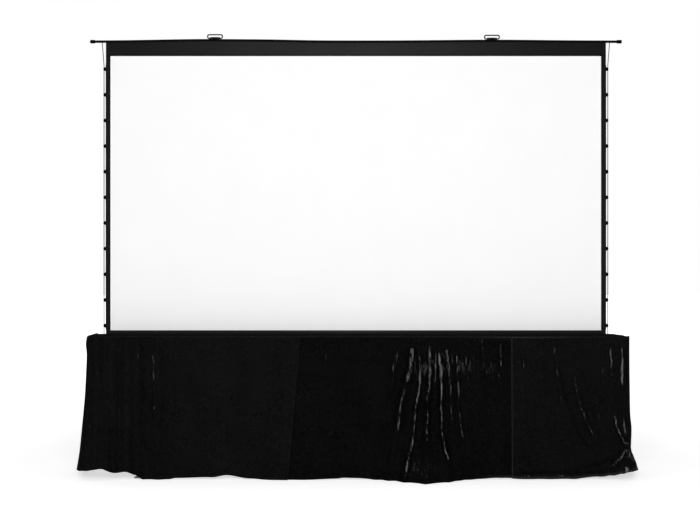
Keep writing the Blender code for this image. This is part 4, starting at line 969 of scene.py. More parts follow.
FASTENER_INPUTS = (("Fastener", "Object", None), ("Size", "Float", 0.006))
STITCH_INPUTS = (("Pitch", "Float", 0.008), ("Stitch", "Float", 0.005), ("Thread", "Float", 0.0006))
COLUMN_INPUTS = (("Piece", "Object", None), ("Count", "Int", 11), ("Pitch", "Vector", (0, 0, 0.1)))
RING_INPUTS = (("Piece", "Object", None), ("Count", "Int", 20), ("Radius", "Float", 0.015))
TREE_KINDS = {
    "heads": ("fasteners_on_points", FASTENER_INPUTS, head_copies),
    "stitches": ("stitches_along_lines", STITCH_INPUTS, stitch_copies),
    "column": ("pieces_in_a_column", COLUMN_INPUTS, column_copies),
    "ring": ("ribs_round_an_axis", RING_INPUTS, ring_copies),
}
TREES = {}
def grown(kind, start, coat, values):
    """The plain mesh that a tree makes of a starting mesh, its inputs set by their identifiers."""
    if kind not in TREES:
        TREES[kind] = copying_tree(*TREE_KINDS[kind])
    tree = TREES[kind]
    thing = placed("seed", start)
    change = thing.modifiers.new("nodes", "NODES")
    change.node_group = tree
    inputs = {item.name: item.identifier for item in tree.interface.items_tree if item.in_out == "INPUT"}
    for label, value in {**values, "Material": finish(coat)}.items():
        change[inputs[label]] = value
    mesh = baked(thing)
    bpy.data.meshes.remove(start)
    return mesh


def dismiss(thing):
    """Removes an object that a tree has copied."""
    mesh = thing.data
    bpy.data.objects.remove(thing, do_unlink=True)
    bpy.data.meshes.remove(mesh)


def screws(name, places, size, body):
    """Button heads with hexagon sockets at (place, direction) pairs."""
    mesh = bpy.data.meshes.new("points")
    mesh.from_pydata([place for place, _ in places], [], [])
    facing = mesh.attributes.new("facing", "FLOAT_VECTOR", "POINT")
    facing.data.foreach_set("vector", [value for _, direction in places for value in direction])
    head = placed("head", turned(SCREW_PROFILE, Matrix.Identity(4), 12))
    made = grown("heads", mesh, "screw", {"Fastener": head, "Size": size})
    dismiss(head)
    settle(name, made, body, "dark_steel", smooth=30)


def stitched(name, lines, body, slot):
    """Rows of stitches along lines of points."""
    mesh = bpy.data.meshes.new("lines")
    points, edges = [], []
    for line in lines:
        start = len(points)
        points += line
        edges += [(start + i, start + i + 1) for i in range(len(line) - 1)]
    mesh.from_pydata(points, edges, [])
    values = {"Pitch": STITCH_PITCH, "Stitch": STITCH_LONG, "Thread": THREAD_THICK}
    return settle(name, grown("stitches", mesh, "thread", values), body, slot, smooth=60)


# Screen cloth


def edge_scallop(z):
    """How far the cloth's side edge is drawn in between two tabs."""
    phase = (z - TAB_BASE_Z) / TAB_PITCH
    if phase < 0 or phase > TAB_COUNT - 1:
        return 0
    share = math.sin(math.pi * (phase % 1))
    return settings().scallop * share * share


def thin_sheet(columns, rows, place, front, back):
    """A closed thin sheet: place gives (x, z) for each column and row share."""
    shape = bmesh.new()
    sides = []
    for y in (front, back):
        grid = []
        for row in rows:
            places = [place(column, row) for column in columns]
            grid.append([shape.verts.new((x, y, z)) for x, z in places])
        sides.append(grid)
    fore, rear = sides
    strips = [pair for grid in sides for pair in zip(grid, grid[1:])]
    strips += [(fore[0], rear[0]), (fore[-1], rear[-1])]
    strips += [([line[i] for line in fore], [line[i] for line in rear]) for i in (0, -1)]
    for first, second in strips:
        for i in range(len(first) - 1):
            shape.faces.new((first[i], first[i + 1], second[i + 1], second[i]))
    bmesh.ops.recalc_face_normals(shape, faces=shape.faces)
    return mesh_from(wrapped(shape))


def squash_sheet(thing):
    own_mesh(thing)


def make_backing():
    half = SHEET_HIGH.x

    def place(column, row):
        top = bar_centre_z(column * half) - BAR_RADIUS + 0.0001
        z = between(ROLLER_Z, top, row)
        return column * (half - edge_scallop(z)), z

    piece = Piece("tensioned_black_cloth")
    columns, rows = CLOTH_STEPS
    cloth = thin_sheet(spaced(-1, 1, columns), spaced(0, 1, rows), place, SHEET_LOW.y, SHEET_HIGH.y)
    piece.add(cloth, "black_cloth")

    def tape(across, up, front, coat):
        """A flat tape on the front of the cloth."""
        low = (min(across), WHITE_LOW.y - front, up[0])
        high = (max(across), WHITE_LOW.y - TAPE_BEHIND, up[1])
        piece.add(block(low, high, TAPE_BEHIND, 1), coat)

    reach = half - 0.003
    low_hem, high_hem = WHITE_LOW.z + HEM_LAP, WHITE_HIGH.z - HEM_LAP
    tape((-reach, reach), (high_hem, WHITE_HIGH.z + 0.003), HEM_FRONT, "black_cloth")
    # The lower hem tape is paler than the cloth: it paints the light that falls on the strip above the deck.
    tape((-reach, reach), (DECK_Z + 0.001, low_hem), HEM_FRONT, "hem_tape_painted_light")
    for (_, side), lap in zip(SIDES, BORDER_LAPS):
        across = (side * (WHITE_HIGH.x - lap), side * (WHITE_HIGH.x + 0.006))
        tape(across, (low_hem - 0.001, high_hem + 0.001), BORDER_FRONT, "black_cloth")
    thing = piece.done("case", "black_fabric", "black_backing", smooth=60)
    squash_sheet(thing)


def make_white_face():
    columns = spaced(WHITE_LOW.x, WHITE_HIGH.x, FACE_STEPS[0])
    rows = spaced(WHITE_LOW.z, WHITE_HIGH.z, FACE_STEPS[1])
    mesh = thin_sheet(columns, rows, lambda column, row: (column, row), WHITE_LOW.y, WHITE_HIGH.y)
    piece = Piece("matt_white_face").add(mesh, "white_cloth")
    thing = piece.done("case", "matt_white", "white_surface", smooth=60)
    squash_sheet(thing)


def tab_shape(side):
    """One tab: a tapered tongue with a rounded tip, and the eye that the cord runs through."""
    root, tip, round_tip, eye = 0.0160, 0.0135, 0.0115, 0.0075
    across = TAB_OUT - round_tip + 0.001
    lower = arc((across, -tip + round_tip), round_tip, -math.pi / 2, 0, 8)
    upper = arc((across, tip - round_tip), round_tip, 0, math.pi / 2, 8)
    rim = [(-0.010, -root), (0.001, -root), *lower, *upper, (0.001, root), (-0.010, root)]
    if side < 0:
        rim = [(-across, up) for across, up in reversed(rim)]
    tongue = plate([rim], 0.0022, facing_front((0, 0.0014, 0)), 0.0005)
    bore, barrel = CORD_RADIUS + 0.0002, CORD_RADIUS + 0.0018
    eye_profile = [(bore, eye), (barrel, eye), (barrel, -eye), (bore, -eye), (bore, eye)]
    eye = turned(filleted(eye_profile, 0.0006), Matrix.Translation((side * TAB_OUT, 0.0012, 0)), 20)
    shape = bmesh.new()
    for mesh in (tongue, eye):
        shape.from_mesh(mesh)
        bpy.data.meshes.remove(mesh)
    return mesh_from(shape)


def make_tabs(label, side):
    half = SHEET_HIGH.x
    tab = placed("tab", tab_shape(side))
    tab.data.transform(Matrix.Translation((side * half, 0, TAB_BASE_Z)))
    start = bpy.data.meshes.new("start")
    values = {"Piece": tab, "Count": TAB_COUNT, "Pitch": (0, 0, TAB_PITCH)}
    tabs = grown("column", start, "plastic", values)
    dismiss(tab)

    def place(column, z):
        return side * (half + STRIP_OUT - edge_scallop(z) - STRIP_WIDE * (1 - column)), z

    rows = spaced(TAB_BASE_Z - STRIP_PAST_TAB, TAB_TOP_Z + STRIP_PAST_TAB, STRIP_STEPS)
    strip = thin_sheet((0, 0.5, 1), rows, place, 0.0006, 0.0018)
    piece = Piece(f"edge_tabs_{label}").add(strip, "plastic").add(tabs, "plastic")
    thing = piece.done("case", "black_plastic", f"tension_tabs_{label}")
    squash_sheet(thing)


def make_cord(label, side):
    reach = SHEET_HIGH.x
    top = bar_centre_z(side * (reach + CORD_OUT_AT_BAR)) - BAR_RADIUS
    heights = [(reach + CORD_OUT_AT_BAR, top - 0.0003)]
    heights += [(reach + TAB_OUT, z) for z in spaced(TAB_TOP_Z + STRIP_PAST_TAB, ROLLER_Z, CORD_STEPS)]
    points = [(side * across, 0.0012, z) for across, z in heights]
    piece = Piece(f"edge_cord_{label}").add(tube(points, CORD_RADIUS, resolution=3), "cord")
    thing = piece.done("case", "grey_cord", f"tension_cord_{label}")
    squash_sheet(thing)


# Top bar


def make_bar():
    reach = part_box("top_bar")[1].x
    line = [(x, 0, bar_centre_z(x)) for x in spaced(-reach, reach, BAR_STEPS)]
    piece = Piece("bowed_bar").add(tube(line, BAR_RADIUS, resolution=7), "bar_paint")
    piece.done("top_bar", "black_paint", "top_bar")
    for label, side in SIDES:
        low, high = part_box(f"bar_end_cap_{label}")
        radius, length = (high.z - low.z) / 2, high.x - low.x
        groove, bore = radius - 0.0008, BAR_RADIUS + 0.0004
        profile = [(0, length), (radius - 0.0035, length), (radius - 0.002, length - 0.0008)]
        profile += [(radius, length - 0.003), (radius, 0.004), (groove, 0.003), (groove, 0.0015)]
        profile += [(radius, 0.0005), (radius, 0), (bore, 0), (bore, CAP_BORE_DEEP), (0, CAP_BORE_DEEP)]
        inner = low.x if side > 0 else high.x
        matrix = towards((inner, 0, (low.z + high.z) / 2), (side, 0, 0))
        piece = Piece(f"bar_cap_{label}").add(turned(profile, matrix, 40), "plastic")
        piece.done("top_bar", "black_plastic", f"bar_end_cap_{label}")


def make_sleeve():
    """The cloth's turned top. It hangs from the bar and laps the stretched cloth, so that no gap
    shows below the bow when the screen is folded."""
    half = SHEET_HIGH.x - SLEEVE_INSET
    front, back = (WHITE_LOW.y - before for before in SLEEVE_BEFORE)

    def low_edge(x):
        return bar_centre_z(x) - BAR_RADIUS - SLEEVE_DROP

    def place(column, row):
        x = column * half
        return x, between(low_edge(x), bar_centre_z(x) - SLEEVE_INSIDE, row)

    steps = CLOTH_STEPS[0]
    cloth = thin_sheet(spaced(-1, 1, steps), (0, 0.5, 1), place, front, back)
    piece = Piece("bar_sleeve").add(cloth, "black_cloth")
    thing = piece.done("top_bar", "black_fabric", smooth=60)
    line = [Vector((x, front - 0.0001, low_edge(x) + 0.003)) for x in spaced(-half, half, steps)]
    thread = stitched("bar_sleeve_stitches", [line], "top_bar", "black_fabric")


def make_loop(label):
    low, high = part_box(f"lifting_loop_{label}")
    wire, corner = LOOP_WIRE, LOOP_CORNER
    left, right = low.x + wire + corner, high.x - wire - corner
    foot, top = low.z + LOOP_AXIS_UP + corner, high.z - wire - corner
    points = []
    for turn, centre in enumerate(((right, top), (left, top), (left, foot), (right, foot))):
        start = turn * math.pi / 2
        points += [(x, 0, z) for x, z in arc(centre, corner, start, start + math.pi / 2, 10)]
    piece = Piece(f"wire_loop_{label}").add(tube(points, wire, closed=True, resolution=5), "wire")
    piece.done(f"lifting_loop_{label}", "dark_steel", f"lifting_loop_{label}", smooth=60)

    node = f"loop_clamp_{label}"
    dressed(f"bar_clamp_{label}", node, 0.0012, "plastic", "top_bar", "black_plastic", 2)
    low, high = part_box(node)
    middle, z = (low.x + high.x) / 2, low.z + 0.012
    places = []
    for x in (middle - 0.022, middle + 0.022):
        places += [((x, y - facing * 0.0002, z), (0, facing, 0)) for y, facing in ((low.y, -1), (high.y, 1))]
    screws(f"clamp_screws_{label}", places, CLAMP_SCREW, "top_bar")


# Lifts


def lift_points(side):
    """The pivots of one lift at rest as (x, z), by name."""
    outer = side * PIVOT_X
    inner = side * (PIVOT_X - ARM_PITCH * math.cos(LIFT_ANGLE))
    middle = (outer + inner) / 2
    z = LIFT_HEIGHTS
    return {
        "outer_foot": (outer, z[0]),
        "inner_foot": (inner, z[0]),
        "lower_cross": (middle, z[1]),
        "outer_knee": (outer, z[2]),
        "inner_knee": (inner, z[2]),
        "upper_cross": (middle, z[3]),
        "outer_head": (outer, z[4]),
        "inner_head": (inner, z[4]),
    }


def flat_arm(start, end, middle_y):
    """A flat bar with round ends and three pin holes, its edges broken."""
    start, end = Vector(start), Vector(end)
    along = end - start
    length = along.length
    rim = arc((length, 0), ARM_HALF_WIDE, -math.pi / 2, math.pi / 2, 20)
    rim += arc((0, 0), ARM_HALF_WIDE, math.pi / 2, 3 * math.pi / 2, 20)
    rim = [rim[0]] + [p for before, p in zip(rim, rim[1:]) if (Vector(p) - Vector(before)).length > 0.00001]
    holes = [hole((place, 0), PIN_RADIUS + 0.0003) for place in (0, length / 2, length)]
    turn = Matrix.Rotation(-math.atan2(along.y, along.x), 4, "Y") @ Matrix.Rotation(math.pi / 2, 4, "X")
    return plate([rim, *holes], ARM_THICK, Matrix.Translation((start.x, middle_y, start.y)) @ turn, 0.0008)


def pin(place, steps, edge=0.0006):
    """A round pin along +Y whose steps are (radius, from y, to y)."""
    start = steps[0][1]
    profile = [(0, steps[-1][2] - start)]
    for radius, near, far in reversed(steps):
        profile += [(radius, far - start), (radius, near - start)]
    profile.append((0, 0))
    x, z = place
    return turned(filleted(profile, edge, 2), towards((x, start, z), (0, 1, 0)), 32)


def headed(place, reach_y, boss=False):
    """A domed pin head before the front arm, its shank, and a spacing boss where asked for."""
    near = FRONT_ARM_Y - ARM_THICK / 2
    head = near - 0.0012
    shank = near + 0.0002
    steps = [(0.0065, near - 0.002, head), (PIN_HEAD, head, shank)]
    if boss:
        start, end = BOSS_Y
        steps += [(PIN_RADIUS, shank, REAR_ARM_Y - ARM_THICK / 2), (0.011, start, end)]
        shank = end
    return pin(place, [*steps, (PIN_RADIUS, shank, reach_y)])


def make_lift(label, side):
    at = lift_points(side)
    back = REAR_ARM_Y + ARM_THICK / 2
    rail_back = RAIL_Y + RAIL_THICK
    drum_back = rail_back + 0.0255

    def rail_pin(name):
        start, end = RAIL_PIN_Y
        return pin(at[name], [(PIN_HEAD, start, end), (PIN_RADIUS, end, rail_back)])

    foot = (headed(at["outer_foot"], drum_back, True), headed(at["lower_cross"], back))
    knee = (headed(at["outer_knee"], back), headed(at["upper_cross"], back))
    head = headed(at["inner_head"], rail_back, True)
    arms = (
        ("lower_front", "outer_foot", "inner_knee", FRONT_ARM_Y, (*foot, headed(at["inner_knee"], back))),
        ("lower_rear", "inner_foot", "outer_knee", REAR_ARM_Y, (rail_pin("inner_foot"),)),
        ("upper_rear", "inner_knee", "outer_head", REAR_ARM_Y, (rail_pin("outer_head"),)),
        ("upper_front", "outer_knee", "inner_head", FRONT_ARM_Y, (*knee, head)),
    )
    for number, (place, start, end, y, pins) in enumerate(arms, 1):
        piece = Piece(f"lift_arm_{number}_{label}").add(flat_arm(at[start], at[end], y), "aluminium")
        for made in pins:
            piece.add(made, "zinc")
        node = f"{place}_arm_{label}"
        piece.done(node, "bare_aluminium", node)
    dressed(f"foot_rail_{label}", f"base_rail_{label}", 0.0005, "zinc", "case", "zinc_steel")
    dressed(f"top_rail_{label}", f"head_rail_{label}", 0.0004, "zinc", "top_bar", "zinc_steel")


def make_drum(label):
    """The lift spring's round housing, with a stepped lid."""
    low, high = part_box(f"spring_drum_{label}")
    middle = (low + high) / 2
    radius, deep = (high.z - low.z) / 2, high.y - low.y
    profile = [(0, deep), (0.012, deep), (0.0135, deep - 0.0015), (radius - 0.007, deep - 0.0015)]
    profile += [(radius - 0.0055, deep - 0.0005), (radius - 0.001, deep - 0.0005), (radius, deep - 0.002)]
    profile += [(radius, 0.0085), (radius - 0.001, 0.008), (radius - 0.001, 0.007)]
    profile += [(radius, 0.0065), (radius, 0), (0.0068, 0), (0.0068, 0.0258), (0, 0.0258)]
    piece = Piece(f"spring_housing_{label}")
    piece.add(turned(profile, towards((middle.x, low.y, middle.z), (0, 1, 0)), 56), "anodised")
    piece.done("case", "black_anodised", f"spring_drum_{label}", smooth=25)
    places = []
    for i in range(5):
        angle = math.tau * i / 5 + 0.3
        x, z = middle.x + 0.022 * math.cos(angle), middle.z + 0.022 * math.sin(angle)
        places.append(((x, high.y - 0.0015, z), (0, 1, 0)))
    screws(f"housing_screws_{label}", places, DRUM_SCREW, "case")


# Case and its controls


def make_case():
    for node, name in CASE_PIECES:
        # The tops get a paler matt black: painted light on the faces that look up.
        piece = Piece(name).add(softened(node, 0.0008), "anodised").coat_tops("blasted_painted_light")
        piece.done("case", "black_anodised", node)
    low, high = CASE_LOW, CASE_HIGH
    places = []
    for _, side in SIDES:
        for z in spaced(low.z + 0.014, high.z - 0.014, 4):
            places += [((side * CASE_HALF, y, z), (side, 0, 0)) for y in (low.y + 0.010, high.y - 0.010)]
    screws("end_plate_screws", places, CASE_SCREW, "case")
    places = []
    for z in (high.z - 0.012, low.z + 0.012):
        reach = CASE_HALF - 0.08
        places += [((x, high.y, z), (0, 1, 0)) for x in spaced(-reach, reach, 12)]
    screws("rear_shell_screws", places, SHELL_SCREW, "case")


def make_controls():
    low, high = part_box("control_box")
    dressed("control_housing", "control_box", 0.0015, "box_plastic", "case", "black_plastic", 2)
    places = []
    for x in (low.x + 0.007, high.x - 0.007):
        places += [((x, high.y, z), (0, 1, 0)) for z in (low.z + 0.007, high.z - 0.007)]
    screws("control_screws", places, CONTROL_SCREW, "case")

    inlet_x, z = (low.x + high.x) / 2 - 0.035, (low.z + high.z) / 2
    floor = high.y - 0.016
    pins = Piece("inlet_contacts")
    for across, up in ((-0.007, -0.002), (0, 0.003), (0.007, -0.002)):
        near = (inlet_x + across - 0.001, floor + 0.0003, z + up - 0.003)
        far = (inlet_x + across + 0.001, floor + 0.011, z + up + 0.003)
        pins.add(block(near, far, 0.0004, 2), "brass")
    pins.done("case", "dark_steel")
    dressed("rocker_key", "rocker_switch", 0.0006, "key_plastic", "rocker_switch", "black_plastic", 2)


# Roller


def make_roller():
    radius = (ROLLER_HIGH.z - ROLLER_LOW.z) / 2

    def ring(half, inner, outer):
        """The profile and place of a pipe along the roller's axis."""
        profile = [(inner, 2 * half), (outer, 2 * half), (outer, 0), (inner, 0), (inner, 2 * half)]
        return profile, towards((-half, ROLLER_Y, ROLLER_Z), (1, 0, 0))

    profile, matrix = ring(ROLLER_HIGH.x, radius - 0.0025, radius)
    piece = Piece("winding_tube").add(turned(filleted(profile, 0.0006, 2), matrix, 64), "tube_aluminium")
    piece.done("roller", "bare_aluminium", "roller_tube")
    profile, matrix = ring(SHEET_HIGH.x, radius + 0.00005, radius + 0.0002)
    piece = Piece("wound_cloth").add(turned(profile, matrix, 64), "black_cloth")
    piece.done("roller", "black_fabric")
    for node, name, coat, slot, body in (
        ("drive_crown", "motor_crown", "plastic", "black_plastic", "roller"),
        ("idler_plug", "idler_end", "plastic", "black_plastic", "roller"),
        ("tubular_motor", "roller_motor", "frame_paint", "black_paint", "case"),
    ):
        dressed(name, node, 0.0005, coat, body, slot, smooth=30)
    for label, side in SIDES:
        node = f"roller_bracket_{label}"
        dressed(f"bracket_{label}", node, 0.0005, "zinc", "case", "zinc_steel")
        low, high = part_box(node)
        x = side * (CASE_HALF - 0.020)
        places = [((x, y, low.z + 0.004), (0, 0, 1)) for y in (low.y + 0.018, high.y - 0.018)]
        screws(f"bracket_screws_{label}", places, CASE_SCREW, "case")


# Stand


def make_stand():
    beams = []
    for label, _ in SIDES:
        beams += [(f"post_{label}", f"stand_post_{label}"), (f"foot_beam_{label}", f"stand_foot_{label}")]
    for name, node in (*beams, ("cross_rail", "stand_stretcher")):
        dressed(name, node, 0.001, "frame_paint", "case", "black_anodised")
    for label, _ in SIDES:
        for end in ("front", "rear"):
            make_castor(f"{end}_{label}")
            make_jack(f"{end}_{label}")


def make_castor(label):
    node = f"castor_fork_{label}"
    dressed(f"fork_{label}", node, 0.0005, "zinc", node, "zinc_steel")
    node = f"castor_wheel_{label}"
    low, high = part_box(node)
    radius, half = (high.z - low.z) / 2, (high.x - low.x) / 2
    tread = half - 0.002
    web = tread - 0.004
    upper = [(0.0045, half), (0.012, half), (0.0125, web), (0.0265, web), (0.027, tread)]
    upper += [(radius - 0.005, tread), (radius - 0.0015, tread - 0.0015), (radius, tread - 0.005)]
    upper += [(radius, 0.003), (radius - 0.0008, 0.0025)]
    profile = upper + [(r, -h) for r, h in reversed(upper)] + [upper[0]]
    wheel = turned(profile, towards((low + high) / 2, (1, 0, 0)), 48)
    Piece(f"wheel_{label}").add(wheel, "rubber").done(node, "grey_rubber", node, smooth=30)


def make_jack(label):
    node = f"levelling_jack_{label}"
    low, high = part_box(node)
    x, y = (low.x + high.x) / 2, (low.y + high.y) / 2
    knob = high.z - 0.014
    profile = [(0, high.z), (0.0115, high.z), (KNOB_RADIUS, high.z - 0.002), (KNOB_RADIUS, knob + 0.002)]
    profile += [(0.012, knob), (SPINDLE_RADIUS, knob)]
    for i in range(int((knob - 0.020) / THREAD_PITCH)):
        z = knob - 0.0005 - i * THREAD_PITCH
        profile += [(SPINDLE_RADIUS, z), (SPINDLE_RADIUS - 0.0007, z - THREAD_PITCH / 2)]
    profile += [(SPINDLE_RADIUS, 0.018), (0.009, 0.015), (0.022, 0.009), (0.025, 0.006)]
    profile += [(0.025, 0.0008), (0.0242, 0), (0, 0)]
    piece = Piece(f"jack_{label}").add(turned(profile, Matrix.Translation((x, y, 0)), 32), "zinc")
    rib = placed("rib", block((-0.0015, -0.0011, 0.002), (0.0013, 0.0011, 0.012), 0.0005, 1))
    start = bpy.data.meshes.new("start")
    ribs = grown("ring", start, "zinc", {"Piece": rib, "Count": 18, "Radius": KNOB_RADIUS})
    dismiss(rib)
    ribs.transform(Matrix.Translation((x, y, knob)))
    piece.add(ribs, "zinc").done(node, "zinc_steel", node, smooth=30)


# Skirt


def fold_height(along, down):
    """How far the cloth stands out in its main folds: along in metres, down as a share of the height."""
    total = 0
    for (top, hem), (start, end), depth_share, wide_share in FOLD_SHARES:
        middle = CASE_HALF * between(top, hem, down)
        wide = FOLD_HALF_WIDE * wide_share * between(0.70, 1.30, down)
        if abs(along - middle) > CREASE_REACH * wide:
            continue
        fade = eased((down - start) / 0.25) * (1 - eased((down - end) / 0.15))
        deep = settings().fold_depth * depth_share * between(0.35, 1, down)
        total += deep * fade * bump(along, middle, wide)
    return total


def spread_height(along, down):
    """How far the lower cloth stands out as a whole."""
    total = HEM_OUT * down * down
    for place, wide, share, power in SPREAD_SHARES:
        total += settings().hem_spread * share * bump(along / CASE_HALF, place, wide) * down**power
    return total


def slack(along):
    """The right end hangs a little off the case."""
    start = eased((along / CASE_HALF - 0.92) / 0.08)
    return SLACK_OUT * start * (1 - eased((along - CASE_HALF - 0.2) / 0.1))


def crease_lines():
    """Each crease as (points, half width, height, painted highlight, lowest and highest station)."""
    height = SKIRT_TOP_Z
    lines = []
    for shares, wide, tall, nap_highlight in CREASES:
        points = [Vector((CASE_HALF * across, height * (1 - down))) for across, down in shares]
        wide, tall = wide * CENTI, tall * CENTI
        reach = CREASE_REACH * wide
        ends = [p.x for p in points]
        lines.append((points, wide, tall, nap_highlight, min(ends) - reach, max(ends) + reach))
    return lines


def crease_height(along, z, lines):
    """(how far out, how much painted highlight, how much painted shade) the creases make a place."""
    down = 1 - z / SKIRT_TOP_Z
    waver = 0.006 * noise.noise(Vector((z * 9, 2.0, 0))) + 0.003 * noise.noise(Vector((z * 34, 5.0, along)))
    here = Vector((along + waver, z))
    out, nap_highlight, shade = 0, 0, 0
    for points, wide, tall, brushed_highlight, low, high in lines:
        if not low < along < high:
            continue
        best, share = 1e9, 0
        for i, (start, end) in enumerate(zip(points, points[1:])):
            way = end - start
            t = min(max((here - start).dot(way) / way.length_squared, 0), 1)
            apart = (here - start - way * t).length
            if apart < best:
                best, share = apart, (i + t) / (len(points) - 1)
        if best > CREASE_REACH * wide:
            continue
        taper = 0.25 + 0.75 * eased(share / 0.12) * eased((1 - share) / 0.12)
        out += tall * taper * bump(best, 0, wide)
        line = between(0.75, 0.42, eased((down - 0.20) / 0.25)) * wide
        nap_highlight = max(nap_highlight, brushed_highlight * taper * bump(best, 0, line))
        # Painted shade beside each raised crease and along each trough.
        shade += (brushed_highlight * bump(best, 2.0 * wide, wide) if tall > 0 else 0.6 * bump(best, 0, wide)) * taper
    where = along / CASE_HALF
    for place, wide, deep, tall, amount in CRUSHED:
        nap_highlight = max(nap_highlight, amount * bump(where, place, wide) * bump(down, deep, tall))
    return out, nap_highlight, shade


def ripple(along, down):
    """Narrow upright ripples, from -1 to 1."""
    return noise.noise(Vector((along * 30, down * 1.2, 3.0)))


def fine_height(along, down):
    """Small unevenness of the cloth: narrow upright ripples and broad soft waves."""
    left_end = eased((-0.66 * CASE_HALF - along) / 0.2)
    narrow = (RIPPLE_OUT + RIPPLE_OUT_LEFT * left_end) * ripple(along, down) * eased(down / 0.08)
    broad = noise.noise(Vector((along * 5, down * 2.5, 9.0)))
    return narrow + BROAD_OUT * broad * down + FINE_OUT


def pinch(along, down):
    """The right front corner bulges a little and is drawn in just above its flared hem."""
    amount = BULGE_OUT * bump(down, 0.68, 0.06) - PINCH_IN * bump(down, 0.852, 0.065)
    return amount * bump(along / CASE_HALF, 1.0, 0.05)


def knot(along, down):
    """The cloth gathers just below the left front corner."""
    return KNOT_OUT * bump(along, -CASE_HALF, 0.03) * bump(down, 0.052, 0.048)


def hem_z(along):
    where = along / CASE_HALF
    for (near, low), (far, high) in zip(HEM_LINE, HEM_LINE[1:]):
        if near <= where <= far:
            return MILLI * between(low, high, eased((where - near) / (far - near)))
    return 0.002


def seam_height(from_seam, down):
    """How far a panel rides over its neighbour, by its distance from its own seam edge."""
    return eased((0.200 - from_seam) / 0.100) * (SEAM_OUT + SEAM_OUT_AT_HEM * down)


def corner_path(along):
    """(x, y, way out) of the case's outline at a station of the cloth."""
    side = 1 if along > 0 else -1
    past = abs(along) - CASE_HALF
    if past <= -CORNER_ROUND:
        return along, SKIRT_FRONT_Y, 0.0, -1.0
    if past >= CORNER_ROUND:
        return side * CASE_HALF, SKIRT_FRONT_Y + past, side * 1.0, 0.0
    angle = (past + CORNER_ROUND) / (2 * CORNER_ROUND) * math.pi / 2
    x = CASE_HALF - CORNER_ROUND + CORNER_ROUND * math.sin(angle)
    y = SKIRT_FRONT_Y + CORNER_ROUND - CORNER_ROUND * math.cos(angle)
    return side * x, y, side * math.sin(angle), -math.cos(angle)


def skirt_top(along):
    """The top hem, which sags over the left front corner, in the middle and round the right end."""
    middle = eased((CASE_HALF - 0.03 - abs(along)) / 0.06)
    right_end = eased((along - CASE_HALF) / 0.03)
    corner = SAG_AT_CORNER * bump(along, -CASE_HALF, 0.022)
    return SKIRT_TOP_Z - corner - SAG_IN_MIDDLE * max(middle, right_end)


def skirt_point(along, down, lines, extra):
    """(a point of the cloth's inner face, how much painted highlight it has, how much painted shade it has).
    """
    z = between(skirt_top(along), hem_z(along), down)
    raised, nap_highlight, shade = crease_height(along, z, lines)
    out = fold_height(along, down) + spread_height(along, down) + slack(along) + pinch(along, down)
    corner = CORNER_OUT * bump(abs(along), CASE_HALF, 0.03)
    out += fine_height(along, down) + extra + corner + knot(along, down)
    out = max(out + raised, extra + LEAST_OUT)
    x, y, out_x, out_y = corner_path(along)
    return Vector((x + out * out_x, y + out * out_y, z)), nap_highlight, shade


def painted_pile_light(pile_light, along, down, shade):
    """How far the pile leans to the light, as a share, painted as light and shade: the panel's level,
    waves along the ripples at the left end, and painted shade beside the creases.
    """
    ends = eased((-0.60 * CASE_HALF - along) / 0.3)
    waves = 0.35 * ends * ripple(along, down) + 0.10 * noise.noise(Vector((along * 6, down * 3, 4.0)))
    return pile_light + waves - 0.40 * min(shade, 1) - 0.12 * ends


def edge_highlight(along, down, edge, seam_light):
    """Painted highlight where a turned edge shows the pile end on: a lapped seam's, the right panel's
    hem, and a stretch of the top hem.
    """
    lap = seam_light * bump(edge, 0, 0.004)
    low = (1 - down) * SKIRT_TOP_Z
    hem = 0.28 * bump(low, 0.004, 0.007) * eased((along / CASE_HALF - 0.45) / 0.15)
    top = 0.16 * bump(down, 0.0, 0.006) * bump(along / CASE_HALF, 0.62, 0.16)
    return max(lap, hem, top)


def skirt_panel(name, node, stations, pile_light, seam=None, seam_light=0):
    """A thin closed cloth whose columns stand at (along at the top, along at the hem). Its hems and
    its seam edge are sewn."""
    rows = settings().skirt_rows
    lines = crease_lines()
    mesh = bpy.data.meshes.new(name)
    points, faces = [], []
    values = {"pile_highlight": [], "painted_pile_light": [], "edge_highlight": []}
    for row in range(rows + 1):
        down = row / rows
        for top, hem in stations:
            along = between(top, hem, down)
            edge = abs(along - between(*seam, down)) if seam else 1
            point, nap_highlight, shade = skirt_point(along, down, lines, seam_height(edge, down))
            points.append(point)
            values["pile_highlight"].append(nap_highlight)
            values["painted_pile_light"].append(painted_pile_light(pile_light, along, down, shade))
            values["edge_highlight"].append(edge_highlight(along, down, edge, seam_light))
    wide = len(stations)
    for row in range(rows):
        for i in range(wide - 1):
            first = row * wide + i
            faces.append((first, first + wide, first + wide + 1, first + 1))
    mesh.from_pydata(points, [], faces)
    for label, numbers in values.items():
        mesh.attributes.new(label, "FLOAT", "POINT").data.foreach_set("value", numbers)
    mesh.materials.append(finish("velvet"))
    thing = placed("cloth", mesh)
    shell = thing.modifiers.new("cloth", "SOLIDIFY")
    shell.thickness = VELVET_THICK
    shell.offset = 1
    closed = baked(thing)
    bpy.data.meshes.remove(mesh)
    closed.name = name

    def sewn(places):
        """Outer points of the cloth at (row, column) pairs."""
        outer = [closed.vertices[len(points) + row * wide + column] for row, column in places]
        return [vertex.co + 0.0002 * vertex.normal for vertex in outer]

    inset = HEM_INSET_COLUMNS if seam else LAP_COLUMNS
    sewn_rows = (HEM_INSET_ROWS, rows - HEM_INSET_ROWS)
    lines = [[(row, i) for i in range(inset, wide - inset)] for row in sewn_rows]
    if seam:
        column = wide - 1 - HEM_INSET_COLUMNS if stations[-1] == seam else HEM_INSET_COLUMNS
        lines.append([(row, column) for row in range(HEM_INSET_ROWS, rows - HEM_INSET_ROWS + 1)])
    thread = stitched(f"{name}_stitches", [sewn(line) for line in lines], "case", "black_velvet")
    piece = settle(name, closed, "case", "black_velvet", node, smooth=70)


